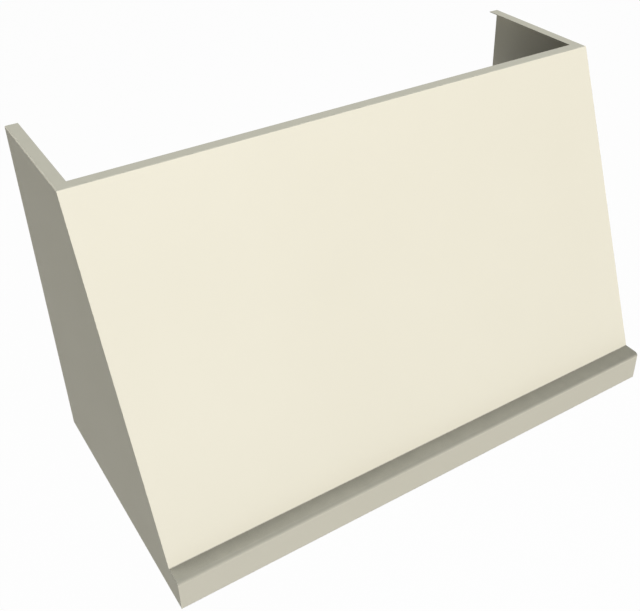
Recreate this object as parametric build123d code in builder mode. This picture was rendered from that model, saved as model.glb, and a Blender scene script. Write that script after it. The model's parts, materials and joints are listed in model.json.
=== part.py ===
"""Wall-hung range hood: a folded sheet canopy round a filter, lamp and blower liner.

Millimetres. X runs along the width, Y points at the wall and Z points up.
The origin is on the wall plane, at the middle of the hood's bottom edge.
"""

import os
from math import atan, cos, radians, sin, tan

from build123d import *

os.makedirs("parts", exist_ok=True)

# Canopy shell
hood_width = 1219.2
hood_height = 762.0
top_depth = 304.8
bottom_depth = 609.6
ledge_depth = 38.1
lip_height = 76.2
top_flange = 25.4
bottom_flange = 25.4
shell_sheet = 1.5
bend_radius = 1.0
ledge_bend_radius = 7.0
weld_flange = 15.0
weld_flange_end_gap = 12.0

# Rear rails and wall screws
rail_sheet = 2.0
rail_flange = 22.0
rail_end_tab = 40.0
lower_rail_height = 60.0
upper_rail_height = 80.0
upper_rail_bottom = 505.0
wall_screw_spacing = 812.8
wall_hole_radius = 4.0

# Liner and plenum
liner_sheet = 1.0
liner_gap = 4.0
liner_foot_gap = 2.0
liner_back_gap = 6.0
wall_flange = 16.0
flange_corner_gap = 1.0
strip_height = 36.0
strip_depth = 109.0
plenum_gap = 20.0
plenum_lap = 25.0
plenum_bend_rise = 6.0
deck_sheet = 1.2
outlet_rise = 36.0

# Deck screws
screw_radius = 2.0
screw_head_radius = 4.5
screw_head_height = 3.0
screw_length = 8.0
screw_hole_gap = 0.1
screw_end_inset = 60.0
screws_per_row = 5

# Filters
filter_count = 4
filter_height = 25.0
filter_rim = 14.0
filter_sheet = 1.0
filter_gap = 3.0
filter_slope = 15.0
filter_stop_gap = 0.2
filter_stop_lap = 14.0
filter_swing_gap = 3.0
baffle_width = 26.0
baffle_height = 9.0
baffle_pitch = 34.0
baffle_sheet = 0.8
baffle_side_gap = 0.2
handle_span = 96.0
handle_drop = 30.0
handle_radius = 3.5
handle_bend = 12.0
magnet_width = 24.0
magnet_depth = 10.0
magnet_height = 5.0

# Filter pivot rod, hooks and supports
rod_radius = 4.0
rod_play = 0.08
rod_setback = 40.0
rod_lift = 54.0
rod_to_filter = 9.0
hook_sheet = 2.0
hook_width = 18.0
hook_inset = 40.0
hook_wrap = 50.0
support_sheet = 1.5
support_width = 16.0

# Grease gutter and cups
gutter_height = 34.0
gutter_lip = 12.0
gutter_reach = 32.0
gutter_riser = 46.0
cup_inset = 140.0
cup_width = 120.0
cup_depth = 50.0
cup_height = 26.0
cup_sheet = 1.0
cup_corner = 8.0
cup_seat_gap = 0.2
cup_clip_gap = 0.3
clip_sheet = 1.0
clip_foot = 14.0
clip_drop = 15.0
clip_width = 20.0
drain_radius = 7.0

# Blower
fan_setback = 230.0
fan_radius = 95.0
blade_depth = 17.0
blade_sheet = 1.0
blade_count = 32
blade_bow = 4.0
blade_lean = 5.0
fan_disc = 2.0
fan_ring = 2.0
fan_ring_depth = 9.0
fan_side_gap = 10.0
hub_radius = 15.0
hub_length = 30.0
volute_gap = 11.0
volute_growth = 16.0
volute_tongue = 38.0
tongue_radius = 6.0
scroll_width = 170.0
scroll_sheet = 1.0
scroll_flange = 12.0
scroll_clearance = 10.0
inlet_radius = 70.0
inlet_flare = 7.0
inlet_flange = 16.0
inlet_lip = 12.0
motor_radius = 62.0
motor_length = 150.0
motor_bell = 24.0
motor_bell_radius = 54.0
motor_boss_radius = 18.0
motor_boss_length = 8.0
motor_vent_count = 8
motor_vent_radius = 38.0
motor_vent_width = 7.0
motor_vent_length = 18.0
motor_vent_depth = 6.0
inlet_space = 40.0
shaft_radius = 6.0
shaft_play = 0.05
shaft_overhang = 8.0
hanger_sheet = 2.0
hanger_spacing = 90.0
hanger_margin = 14.0
hanger_flange = 18.0
hanger_play = 0.2

# Duct and damper
duct_radius = 100.5
duct_sheet = 1.0
duct_setback = 145.0
transition_height = 100.0
transition_margin = 4.0
transition_flange = 12.0
neck_height = 14.0
neck_play = 0.05
collar_height = 66.0
bead_radius = 3.0
bead_height = 22.0
seat_width = 6.0
seat_height = 3.0
seat_play = 0.1
flap_sheet = 1.0
flap_seat_gap = 0.2
flap_edge_gap = 1.5
flap_split_gap = 0.6
damper_rod_radius = 3.0
damper_rod_play = 0.08
damper_rod_overhang = 2.0
knuckle_wall = 1.2
knuckle_length = 20.0
knuckle_gap = 1.0
front_knuckle_spacing = 120.0
rear_knuckle_spacing = 60.0

# Electrics on the deck
box_inset = 150.0
box_width = 110.0
box_depth = 84.0
box_height = 48.0
box_sheet = 1.2
box_corner = 3.0
box_cover_lip = 10.0
box_cover_play = 0.1
power_hole_radius = 11.1
power_hole_height = 24.0
capacitor_inset = 150.0
capacitor_radius = 18.0
capacitor_length = 72.0
terminal_width = 6.3
terminal_length = 9.0
terminal_sheet = 0.8
capacitor_clip_width = 20.0
capacitor_clip_sheet = 1.0
capacitor_clip_foot = 14.0

# Controls and lamps on the control panel
control_spacing = 120.0
control_width = 44.0
control_depth = 34.0
control_height = 24.0
control_corner = 3.0
bushing_radius = 4.8
bushing_hole_gap = 0.1
bushing_length = 7.0
nut_across_flats = 14.0
nut_height = 3.0
spindle_radius = 3.0
spindle_play = 0.06
spindle_length = 30.0
spindle_end_gap = 4.0
knob_radius = 18.0
knob_height = 20.0
knob_nut_gap = 1.0
knob_skirt = 2.5
knob_dome = 2.0
knob_groove_count = 18
knob_groove_radius = 1.6
lamp_count = 4
lamp_end_inset = 130.0
lamp_hole_radius = 31.0
lamp_play = 0.2
lamp_can_height = 34.0
lamp_can_wall = 1.5
lamp_fin_count = 3
lamp_fin_depth = 4.0
lamp_fin_pitch = 7.0
lamp_fin_slot = 3.0
lamp_bezel_radius = 38.0
lamp_bezel_height = 3.0
lamp_lens_height = 3.0
lamp_lens_play = 0.1

# Places worked out from the sizes above
half_width = hood_width / 2
outer_bend = bend_radius + shell_sheet
slant_run = bottom_depth - ledge_depth - top_depth
slant_rise = hood_height - lip_height
slant_angle = atan(slant_run / slant_rise)
inner_half_width = half_width - shell_sheet

liner_half = half_width - bottom_flange - liner_gap
bay_half = liner_half - liner_sheet
liner_front = -bottom_depth + bottom_flange + liner_gap
liner_back = -(rail_flange + liner_back_gap)
plenum_back = liner_back - liner_sheet
liner_fold = bend_radius + liner_sheet

slope = radians(filter_slope)
up_slope = Vector(0, -cos(slope), sin(slope))
off_slope = Vector(0, sin(slope), cos(slope))
rod_y = plenum_back - rod_setback
rod_z = gutter_height + liner_sheet + rod_lift
rod_axis = Vector(0, rod_y, rod_z)
filter_width = (2 * bay_half - (filter_count + 1) * filter_gap) / filter_count
filter_pitch = filter_width + filter_gap
bay_front = liner_front + strip_depth
swing_radius = rod_y - bay_front - filter_swing_gap
filter_reach = (swing_radius**2 - (filter_height / 2) ** 2) ** 0.5
filter_length = filter_reach - rod_to_filter
gutter_front = rod_y - gutter_reach

volute_start = fan_radius + volute_gap
volute_front = volute_start + volute_growth
volute_back = volute_start + 2 * volute_growth
fan_y = plenum_back - fan_setback
filter_top_at_fan = rod_z + (filter_height / 2) / cos(slope) + (rod_y - fan_y) * tan(slope)
fan_z = filter_top_at_fan + (volute_front + scroll_clearance) / cos(slope)
deck_z = fan_z + volute_start + outlet_rise
deck_top = deck_z + deck_sheet
scroll_centre = motor_length / 2 + motor_boss_length + inlet_space + scroll_width / 2
scroll_outer = scroll_centre + scroll_width / 2
outlet_front = fan_y + volute_tongue
outlet_back = fan_y + volute_growth + volute_back
shaft_half = scroll_centre + hub_length / 2 + shaft_overhang

transition_top = deck_top + transition_height
collar_bottom = transition_top
seat_bottom = transition_top + neck_height
flap_bottom = seat_bottom + seat_height + flap_seat_gap
knuckle_radius = damper_rod_radius + damper_rod_play + knuckle_wall
damper_z = flap_bottom + knuckle_radius
flap_radius = duct_radius - duct_sheet - flap_edge_gap

strip_middle = liner_front + strip_depth / 2
lamp_spacing = 2 * (bay_half - lamp_end_inset) / (lamp_count - 1)


def slant_y(z, inset=0.0):
    """Depth of the slanted front at height z, inset mm behind its outer face."""
    return -top_depth - (hood_height - z) * tan(slant_angle) + inset / cos(slant_angle)


def filter_point(along, above):
    """Point in the YZ plane, measured up the filters' slope from the rod and square to it."""
    return (
        rod_y - along * cos(slope) + above * sin(slope),
        rod_z + along * sin(slope) + above * cos(slope),
    )


def folded(plane, points, radii, sheet, side=Side.LEFT):
    """Section of a folded sheet, from the path of one of its faces."""
    with BuildSketch(plane) as section:
        with BuildLine():
            FilletPolyline(*points, radius=radii)
            offset(amount=sheet, side=side)
        make_face()
    return section.sketch


def outline(plane, points):
    """Flat face inside straight edges."""
    with BuildSketch(plane) as face:
        with BuildLine():
            Polyline(*points, close=True)
        make_face()
    return face.sketch


def save(piece, node):
    """Label a finished piece and write it under its own name."""
    piece.part.label = node
    export_step(piece.part, f"parts/{node}.step")


deck_front = slant_y(deck_z, shell_sheet) + plenum_gap
stop_along = (rod_y + (filter_height / 2 + filter_stop_gap) * sin(slope) - bay_front) / cos(slope)
stop_top = filter_point(stop_along, filter_height / 2 + filter_stop_gap)
stop_end = filter_point(filter_reach - filter_stop_lap, filter_height / 2 + filter_stop_gap)

row_span = 2 * (bay_half - wall_flange / 2 - screw_end_inset)
row_step = row_span / (screws_per_row - 1)
front_screws = [
    (-row_span / 2 + row_step * i, deck_front + wall_flange / 2) for i in range(screws_per_row)
]
back_screws = [
    (-row_span / 2 + row_step * i, plenum_back - wall_flange / 2) for i in range(screws_per_row)
]
side_screw_y = (deck_front + plenum_back) / 2


# Front panel: flange, slanted face, ledge, lip and bottom flange in one folded sheet
front_path = [
    (-top_depth + top_flange, hood_height),
    (-top_depth, hood_height),
    (-bottom_depth + ledge_depth, lip_height),
    (-bottom_depth, lip_height),
    (-bottom_depth, 0),
    (-bottom_depth + bottom_flange, 0),
]
front_radii = [outer_bend, bend_radius, ledge_bend_radius + shell_sheet, outer_bend]
top_mitre_start = slant_y(hood_height - shell_sheet, shell_sheet)
bottom_mitre_start = -bottom_depth + shell_sheet
flange_cut = shell_sheet + 2 * bend_radius

with BuildPart() as front_panel:
    extrude(
        folded(Plane.YZ.offset(-half_width), front_path, front_radii, shell_sheet),
        amount=hood_width,
    )
    for side in (-1, 1):
        top_mitre = outline(
            Plane.XY.offset(hood_height),
            [
                (side * half_width, top_mitre_start),
                (side * (half_width - top_depth - top_mitre_start), top_mitre_start),
                (side * (half_width - top_flange), -top_depth + top_flange),
                (side * half_width, -top_depth + top_flange),
            ],
        )
        extrude(top_mitre, amount=-flange_cut, mode=Mode.SUBTRACT)
        bottom_mitre = outline(
            Plane.XY,
            [
                (side * half_width, bottom_mitre_start),
                (side * (half_width - shell_sheet), bottom_mitre_start),
                (side * (half_width - bottom_flange), -bottom_depth + bottom_flange),
                (side * half_width, -bottom_depth + bottom_flange),
            ],
        )
        extrude(bottom_mitre, amount=flange_cut, mode=Mode.SUBTRACT)
save(front_panel, "front_panel")

# Side panels: folded at top and bottom, trimmed behind the front panel
for name, side in (("left", -1), ("right", 1)):
    with BuildPart() as side_panel:
        side_path = [
            (side * (half_width - bottom_flange), 0),
            (side * half_width, 0),
            (side * half_width, hood_height),
            (side * (half_width - top_flange), hood_height),
        ]
        inside = Side.LEFT if side > 0 else Side.RIGHT
        extrude(folded(Plane.XZ, side_path, outer_bend, shell_sheet, inside), amount=bottom_depth)
        with BuildSketch(Plane.YZ.offset(-half_width)):
            with BuildLine():
                FilletPolyline(
                    (0, 0),
                    (0, hood_height),
                    (slant_y(hood_height, shell_sheet), hood_height),
                    (slant_y(lip_height - shell_sheet, shell_sheet), lip_height - shell_sheet),
                    (-bottom_depth + shell_sheet, lip_height - shell_sheet),
                    (-bottom_depth + shell_sheet, 0),
                    radius=[0, 0, 0, 0, ledge_bend_radius, 0],
                    close=True,
                )
            make_face()
        extrude(amount=hood_width, mode=Mode.INTERSECT)
        top_mitre = outline(
            Plane.XY.offset(hood_height),
            [
                (side * half_width, -top_depth),
                (side * (half_width - top_flange), -top_depth + top_flange),
                (side * (half_width - top_flange), -top_depth),
            ],
        )
        extrude(top_mitre, amount=-outer_bend, mode=Mode.SUBTRACT)
        bottom_mitre = outline(
            Plane.XY,
            [
                (side * half_width, -bottom_depth),
                (side * (half_width - bottom_flange), -bottom_depth + bottom_flange),
                (side * (half_width - bottom_flange), -bottom_depth),
            ],
        )
        extrude(bottom_mitre, amount=outer_bend, mode=Mode.SUBTRACT)
        rail_notch = outline(
            Plane.XY,
            [
                (side * inner_half_width, 0),
                (side * inner_half_width, -rail_end_tab),
                (side * (half_width - bottom_flange), -rail_end_tab),
                (side * (half_width - bottom_flange), 0),
            ],
        )
        extrude(rail_notch, amount=outer_bend, mode=Mode.SUBTRACT)
        weld_low = lip_height + weld_flange_end_gap
        weld_high = hood_height - shell_sheet - weld_flange_end_gap
        weld_strip = outline(
            Plane.YZ.offset(side * inner_half_width),
            [
                (slant_y(weld_high, shell_sheet), weld_high),
                (slant_y(weld_low, shell_sheet), weld_low),
                (slant_y(weld_low, 2 * shell_sheet), weld_low),
                (slant_y(weld_high, 2 * shell_sheet), weld_high),
            ],
        )
        extrude(weld_strip, amount=-side * weld_flange)
    save(side_panel, f"{name}_side_panel")

# Rear rails between the side panels, with the wall-screw holes and an end tab on each panel
rail_fold = bend_radius + rail_sheet
lower_rail_path = [
    (0, 0),
    (0, lower_rail_height),
    (-rail_flange, lower_rail_height),
]
upper_rail_top = upper_rail_bottom + upper_rail_height
upper_rail_path = [
    (-rail_flange, upper_rail_bottom),
    (0, upper_rail_bottom),
    (0, upper_rail_top),
    (-rail_flange, upper_rail_top),
]
lower_hole_z = lower_rail_height / 2
upper_hole_z = upper_rail_bottom + upper_rail_height / 2

for name, path, low, high, hole_z in (
    ("lower", lower_rail_path, 0, lower_rail_height, lower_hole_z),
    ("upper", upper_rail_path, upper_rail_bottom, upper_rail_top, upper_hole_z),
):
    with BuildPart() as rear_rail:
        extrude(
            folded(Plane.YZ.offset(-inner_half_width), path, rail_fold, rail_sheet),
            amount=2 * inner_half_width,
        )
        for side in (-1, 1):
            end_tab = outline(
                Plane.YZ.offset(side * inner_half_width),
                [
                    (0, low + rail_fold),
                    (-rail_end_tab, low + rail_fold),
                    (-rail_end_tab, high - rail_fold),
                    (0, high - rail_fold),
                ],
            )
            extrude(end_tab, amount=-side * rail_sheet)
        with BuildSketch(Plane.XZ):
            with Locations((0, hole_z)):
                with GridLocations(wall_screw_spacing, 1, 2, 1):
                    Circle(wall_hole_radius)
        extrude(amount=rail_sheet, mode=Mode.SUBTRACT)
    save(rear_rail, f"{name}_rear_rail")

# Control panel: foot on the shell's flange, lamp strip, front of the filter bay and filter stop
liner_foot = bottom_flange + liner_gap - shell_sheet - liner_foot_gap
control_path = [
    (liner_front - liner_foot, shell_sheet),
    (liner_front, shell_sheet),
    (liner_front, strip_height),
    (bay_front, strip_height),
    stop_top,
    stop_end,
]
with BuildPart() as control_panel:
    extrude(
        folded(
            Plane.YZ.offset(-bay_half),
            control_path,
            [liner_fold, bend_radius, liner_fold, bend_radius],
            liner_sheet,
        ),
        amount=2 * bay_half,
    )
    with BuildSketch(Plane.XY.offset(strip_height)):
        with Locations((0, strip_middle)):
            with GridLocations(lamp_spacing, 1, lamp_count, 1):
                Circle(lamp_hole_radius)
            with GridLocations(control_spacing, 1, 2, 1):
                Circle(bushing_radius + bushing_hole_gap)
    extrude(amount=liner_sheet, mode=Mode.SUBTRACT)
save(control_panel, "control_panel")

# Liner side walls: foot on the shell's flange, wall beside the filter bay, flange under the deck
for name, side in (("left", -1), ("right", 1)):
    with BuildPart() as liner_wall:
        wall_path = [
            (side * (bay_half - wall_flange), deck_z - liner_sheet),
            (side * bay_half, deck_z - liner_sheet),
            (side * bay_half, shell_sheet),
            (side * (inner_half_width - liner_foot_gap), shell_sheet),
        ]
        outside = Side.LEFT if side > 0 else Side.RIGHT
        extrude(
            folded(Plane.XZ, wall_path, [bend_radius, liner_fold], liner_sheet, outside),
            amount=bottom_depth,
        )
        wall_outline = outline(
            Plane.YZ.offset(-half_width),
            [
                (liner_back, shell_sheet),
                (liner_back, deck_z),
                (deck_front - liner_sheet, deck_z),
                (bay_front - 2 * liner_sheet, stop_top[1] + plenum_bend_rise),
                (bay_front - 2 * liner_sheet, strip_height + liner_sheet),
                (liner_front - liner_sheet, strip_height + liner_sheet),
                (liner_front - liner_sheet, shell_sheet),
            ],
        )
        extrude(wall_outline, amount=hood_width, mode=Mode.INTERSECT)
        corner_reach = wall_flange + flange_corner_gap
        for flange_end, into in ((plenum_back, -1), (deck_front, 1)):
            flange_corner = outline(
                Plane.XY.offset(deck_z),
                [
                    (side * bay_half, flange_end - into * corner_reach),
                    (side * bay_half, flange_end + into * corner_reach),
                    (side * (bay_half - corner_reach), flange_end + into * corner_reach),
                    (side * (bay_half - corner_reach), flange_end - into * corner_reach),
                ],
            )
            extrude(flange_corner, amount=-liner_fold, mode=Mode.SUBTRACT)
        with BuildSketch(Plane.YZ.offset(side * bay_half)):
            with Locations((rod_y, rod_z)):
                Circle(rod_radius + rod_play)
        extrude(amount=side * liner_sheet, mode=Mode.SUBTRACT)
        with BuildSketch(Plane.XY.offset(deck_z)):
            with Locations((side * (bay_half - wall_flange / 2), side_screw_y)):
                Circle(screw_radius + screw_hole_gap)
        extrude(amount=-liner_sheet, mode=Mode.SUBTRACT)
    save(liner_wall, f"{name}_liner_wall")

# Plenum front wall, lapped over the control panel's riser and flanged under the deck
plenum_front_path = [
    (bay_front - liner_sheet, stop_top[1] - plenum_lap),
    (bay_front - liner_sheet, stop_top[1] + plenum_bend_rise),
    (deck_front, deck_z - liner_sheet),
    (deck_front + wall_flange, deck_z - liner_sheet),
]
with BuildPart() as plenum_front_wall:
    extrude(
        folded(Plane.YZ.offset(-bay_half), plenum_front_path, bend_radius, liner_sheet),
        amount=2 * bay_half,
    )
    with BuildSketch(Plane.XY.offset(deck_z)):
        with Locations(*front_screws):
            Circle(screw_radius + screw_hole_gap)
    extrude(amount=-liner_sheet, mode=Mode.SUBTRACT)
save(plenum_front_wall, "plenum_front_wall")

# Plenum back wall, with its foot on the lower rail
plenum_back_path = [
    (plenum_back - wall_flange, deck_z - liner_sheet),
    (plenum_back, deck_z - liner_sheet),
    (plenum_back, lower_rail_height),
    (-liner_foot_gap, lower_rail_height),
]
with BuildPart() as plenum_back_wall:
    extrude(
        folded(
            Plane.YZ.offset(-bay_half), plenum_back_path, [bend_radius, liner_fold], liner_sheet
        ),
        amount=2 * bay_half,
    )
    with BuildSketch(Plane.XY.offset(deck_z)):
        with Locations(*back_screws):
            Circle(screw_radius + screw_hole_gap)
    extrude(amount=-liner_sheet, mode=Mode.SUBTRACT)
save(plenum_back_wall, "plenum_back_wall")

# Plenum deck with the two blower outlets
outlet_length = scroll_width - 2 * scroll_sheet
outlet_depth = outlet_back - outlet_front - 2 * scroll_sheet
outlet_middle = (outlet_front + outlet_back) / 2
side_screws = [(side * (bay_half - wall_flange / 2), side_screw_y) for side in (-1, 1)]
deck_screw_places = front_screws + back_screws + side_screws
with BuildPart() as plenum_deck:
    with BuildSketch(Plane.XY.offset(deck_z)):
        with Locations((0, (deck_front + liner_back) / 2)):
            Rectangle(2 * liner_half, liner_back - deck_front)
        with Locations((0, outlet_middle)):
            with GridLocations(2 * scroll_centre, 1, 2, 1):
                Rectangle(outlet_length, outlet_depth, mode=Mode.SUBTRACT)
        with Locations(*deck_screw_places):
            Circle(screw_radius + screw_hole_gap, mode=Mode.SUBTRACT)
    extrude(amount=deck_sheet)
save(plenum_deck, "plenum_deck")

# Deck screws with hexagon heads
with BuildPart() as deck_screws:
    with BuildSketch(Plane.XY.offset(deck_top)):
        with Locations(*deck_screw_places):
            RegularPolygon(screw_head_radius, 6)
    extrude(amount=screw_head_height)
    with BuildSketch(Plane.XY.offset(deck_top)):
        with Locations(*deck_screw_places):
            Circle(screw_radius)
    extrude(amount=-screw_length)
save(deck_screws, "deck_screws")

# Grease gutter below the filters' low ends, with a drain over each cup
cup_places = [(side * (bay_half - cup_inset), (gutter_front + plenum_back) / 2) for side in (-1, 1)]
gutter_path = [
    (gutter_front, gutter_height + gutter_lip),
    (gutter_front, gutter_height),
    (plenum_back, gutter_height),
    (plenum_back, gutter_height + gutter_riser),
]
with BuildPart() as grease_gutter:
    extrude(
        folded(Plane.YZ.offset(-bay_half), gutter_path, liner_fold, liner_sheet),
        amount=2 * bay_half,
    )
    with BuildSketch(Plane.XY.offset(gutter_height)):
        with Locations(*cup_places):
            Circle(drain_radius)
    extrude(amount=liner_sheet, mode=Mode.SUBTRACT)
save(grease_gutter, "grease_gutter")

# Grease cups under the drains
for name, place in zip(("left", "right"), cup_places):
    cup_top = gutter_height - cup_seat_gap
    with BuildPart() as grease_cup:
        with BuildSketch(Plane.XY.offset(cup_top)):
            with Locations(place):
                RectangleRounded(cup_width, cup_depth, cup_corner)
        extrude(amount=-cup_height)
        with BuildSketch(Plane.XY.offset(cup_top)):
            with Locations(place):
                RectangleRounded(
                    cup_width - 2 * cup_sheet, cup_depth - 2 * cup_sheet, cup_corner - cup_sheet
                )
        extrude(amount=-(cup_height - cup_sheet), mode=Mode.SUBTRACT)
    save(grease_cup, f"{name}_grease_cup")

# Spring clips that grip the cups' ends
clip_reach = cup_width / 2 + cup_clip_gap
with BuildPart() as cup_clips:
    for cup_x, cup_y in cup_places:
        for side in (-1, 1):
            clip_path = [
                (cup_x + side * (clip_reach + clip_foot), gutter_height),
                (cup_x + side * clip_reach, gutter_height),
                (cup_x + side * clip_reach, gutter_height - clip_drop),
            ]
            clip_side = Side.LEFT if side > 0 else Side.RIGHT
            extrude(
                folded(
                    Plane.XZ.offset(-cup_y - clip_width / 2),
                    clip_path,
                    bend_radius + clip_sheet,
                    clip_sheet,
                    clip_side,
                ),
                amount=clip_width,
            )
save(cup_clips, "cup_clips")

# Pivot rod through the liner walls
with BuildPart() as filter_rod:
    with BuildSketch(Plane.YZ.offset(-liner_half)):
        with Locations((rod_y, rod_z)):
            Circle(rod_radius)
    extrude(amount=2 * liner_half)
save(filter_rod, "filter_rod")

# Rod supports between the filters, standing in the gutter
support_base = gutter_height + liner_sheet
with BuildPart() as rod_supports:
    for gap in range(1, filter_count):
        support_x = -bay_half + filter_gap / 2 + gap * filter_pitch
        with BuildSketch(Plane.YZ.offset(support_x - support_sheet / 2)):
            with Locations((rod_y, (support_base + rod_z) / 2)):
                Rectangle(support_width, rod_z - support_base)
            with Locations((rod_y, rod_z)):
                Circle(support_width / 2)
                Circle(rod_radius + rod_play, mode=Mode.SUBTRACT)
        extrude(amount=support_sheet)
save(rod_supports, "rod_supports")

# Catch magnets on the filter stop, two over each filter's front edge
filter_centres = [
    -bay_half + filter_gap + filter_width / 2 + i * filter_pitch for i in range(filter_count)
]
magnet_plane = Plane(
    origin=rod_axis + off_slope * (filter_height / 2 + filter_stop_gap + liner_sheet),
    x_dir=(1, 0, 0),
    z_dir=off_slope,
)
magnet_along = -(filter_reach - filter_stop_lap + magnet_depth / 2)
with BuildPart() as filter_magnets:
    with BuildSketch(magnet_plane):
        for centre in filter_centres:
            with Locations((centre, magnet_along)):
                with GridLocations(filter_width / 2, 1, 2, 1):
                    Rectangle(magnet_width, magnet_depth)
    extrude(amount=magnet_height)
save(filter_magnets, "filter_magnets")

# Baffle filters: a channel frame with rod hooks, two rows of interlocking baffles and a handle
window_width = filter_width - 2 * filter_rim
window_length = filter_length - 2 * filter_rim
baffle_row = filter_width - 2 * (filter_sheet + baffle_side_gap) - baffle_width
lower_baffles = 1 + round(baffle_row / baffle_pitch)
baffle_step = baffle_row / (lower_baffles - 1)
baffle_length = filter_length - 2 * filter_sheet
baffle_floor = -filter_height / 2 + filter_sheet
hook_inner = rod_radius + rod_play

for i, centre in enumerate(filter_centres, start=1):
    rod_point = Vector(centre, rod_y, rod_z)
    flat_plane = Plane(origin=rod_point, x_dir=(1, 0, 0), z_dir=off_slope)
    middle = (0, -(rod_to_filter + filter_length / 2))

    with BuildPart() as filter_frame:
        with BuildSketch(flat_plane.offset(-filter_height / 2)):
            with Locations(middle):
                Rectangle(filter_width, filter_length)
                Rectangle(window_width, window_length, mode=Mode.SUBTRACT)
        extrude(amount=filter_height)
        with BuildSketch(flat_plane.offset(baffle_floor)):
            with Locations(middle):
                Rectangle(filter_width - 2 * filter_sheet, filter_length - 2 * filter_sheet)
        extrude(amount=filter_height - 2 * filter_sheet, mode=Mode.SUBTRACT)
        for side in (-1, 1):
            hook_x = side * (filter_width / 2 - hook_inset) - hook_width / 2
            hook_plane = Plane(
                origin=rod_point + Vector(hook_x, 0, 0), x_dir=-up_slope, z_dir=(1, 0, 0)
            )
            with BuildSketch(hook_plane):
                with BuildLine():
                    Line((-rod_to_filter, hook_inner), (0, hook_inner))
                    CenterArc((0, 0), hook_inner, 90, -90 - hook_wrap)
                    offset(amount=hook_sheet, side=Side.LEFT)
                make_face()
            extrude(amount=hook_width)
    save(filter_frame, f"filter_frame_{i}")

    baffle_plane = Plane(
        origin=rod_point + up_slope * (rod_to_filter + filter_sheet),
        x_dir=(1, 0, 0),
        z_dir=up_slope,
    )
    with BuildPart() as filter_baffles:
        for count, flip in ((lower_baffles, 1), (lower_baffles - 1, -1)):
            row_middle = flip * (baffle_floor + baffle_height / 2)
            with BuildSketch(baffle_plane):
                with Locations((0, row_middle)):
                    with GridLocations(baffle_step, 1, count, 1):
                        Rectangle(baffle_width, baffle_height)
                with Locations((0, row_middle + flip * baffle_sheet / 2)):
                    with GridLocations(baffle_step, 1, count, 1):
                        Rectangle(
                            baffle_width - 2 * baffle_sheet,
                            baffle_height - baffle_sheet,
                            mode=Mode.SUBTRACT,
                        )
            extrude(amount=baffle_length)
    save(filter_baffles, f"filter_baffles_{i}")

    handle_plane = Plane(
        origin=rod_point
        + up_slope * (filter_reach - filter_rim / 2)
        - off_slope * (filter_height / 2),
        x_dir=(1, 0, 0),
        z_dir=up_slope,
    )
    with BuildPart() as filter_handle:
        with BuildLine(handle_plane) as bar:
            FilletPolyline(
                (-handle_span / 2, 0),
                (-handle_span / 2, -handle_drop),
                (handle_span / 2, -handle_drop),
                (handle_span / 2, 0),
                radius=handle_bend,
            )
        with BuildSketch(Plane(origin=bar.line @ 0, z_dir=bar.line % 0)):
            Circle(handle_radius)
        sweep(path=bar.line)
    save(filter_handle, f"filter_handle_{i}")


def volute(plane, inset, top):
    """Scroll outline: three growing quarter arcs, the outlet walls and the tongue."""
    front_z = fan_z + volute_growth
    tongue_y = fan_y + volute_tongue + inset
    tongue_z = fan_z + volute_start - inset
    back_y = fan_y + volute_growth + volute_back - inset
    with BuildSketch(plane) as section:
        with BuildLine():
            CenterArc((fan_y, fan_z), volute_start - inset, 90, 90)
            CenterArc((fan_y + volute_growth, fan_z), volute_front - inset, 180, 90)
            CenterArc((fan_y + volute_growth, front_z), volute_back - inset, 270, 90)
            FilletPolyline(
                (back_y, front_z),
                (back_y, top),
                (tongue_y, top),
                (tongue_y, tongue_z),
                (fan_y, tongue_z),
                radius=[0, 0, tongue_radius + inset],
            )
        make_face()
    return section.sketch


# Scroll housings, hung by a flange under the deck
for name, side in (("left", -1), ("right", 1)):
    scroll_start = side * scroll_centre - scroll_width / 2
    with BuildPart() as scroll_housing:
        extrude(volute(Plane.YZ.offset(scroll_start), 0, deck_z), amount=scroll_width)
        with BuildSketch(Plane.XY.offset(deck_z)):
            with Locations((side * scroll_centre, outlet_middle)):
                Rectangle(
                    scroll_width + 2 * scroll_flange,
                    outlet_back - outlet_front + 2 * scroll_flange,
                )
        extrude(amount=-scroll_sheet)
        extrude(
            volute(Plane.YZ.offset(scroll_start + scroll_sheet), scroll_sheet, deck_z),
            amount=scroll_width - 2 * scroll_sheet,
            mode=Mode.SUBTRACT,
        )
        with BuildSketch(Plane.YZ.offset(scroll_start)):
            with Locations((fan_y, fan_z)):
                Circle(inlet_radius + inlet_flare + scroll_sheet)
        extrude(amount=scroll_width, mode=Mode.SUBTRACT)
    save(scroll_housing, f"{name}_scroll_housing")

# Flared inlet rings on both cheeks of each scroll
axle_plane = Plane(origin=(0, fan_y, fan_z), x_dir=(1, 0, 0), z_dir=(0, -1, 0))
fan_axis = Axis((0, fan_y, fan_z), (1, 0, 0))
with BuildPart() as inlet_rings:
    for side in (-1, 1):
        for cheek in (-1, 1):
            cheek_x = side * scroll_centre + cheek * scroll_width / 2
            ring_path = [
                (cheek_x, inlet_radius + inlet_flange),
                (cheek_x, inlet_radius),
                (cheek_x - cheek * inlet_lip, inlet_radius),
            ]
            ring_side = Side.LEFT if cheek > 0 else Side.RIGHT
            revolve(
                folded(
                    axle_plane, ring_path, inlet_flare + scroll_sheet, scroll_sheet, ring_side
                ),
                axis=fan_axis,
            )
save(inlet_rings, "inlet_rings")

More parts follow.
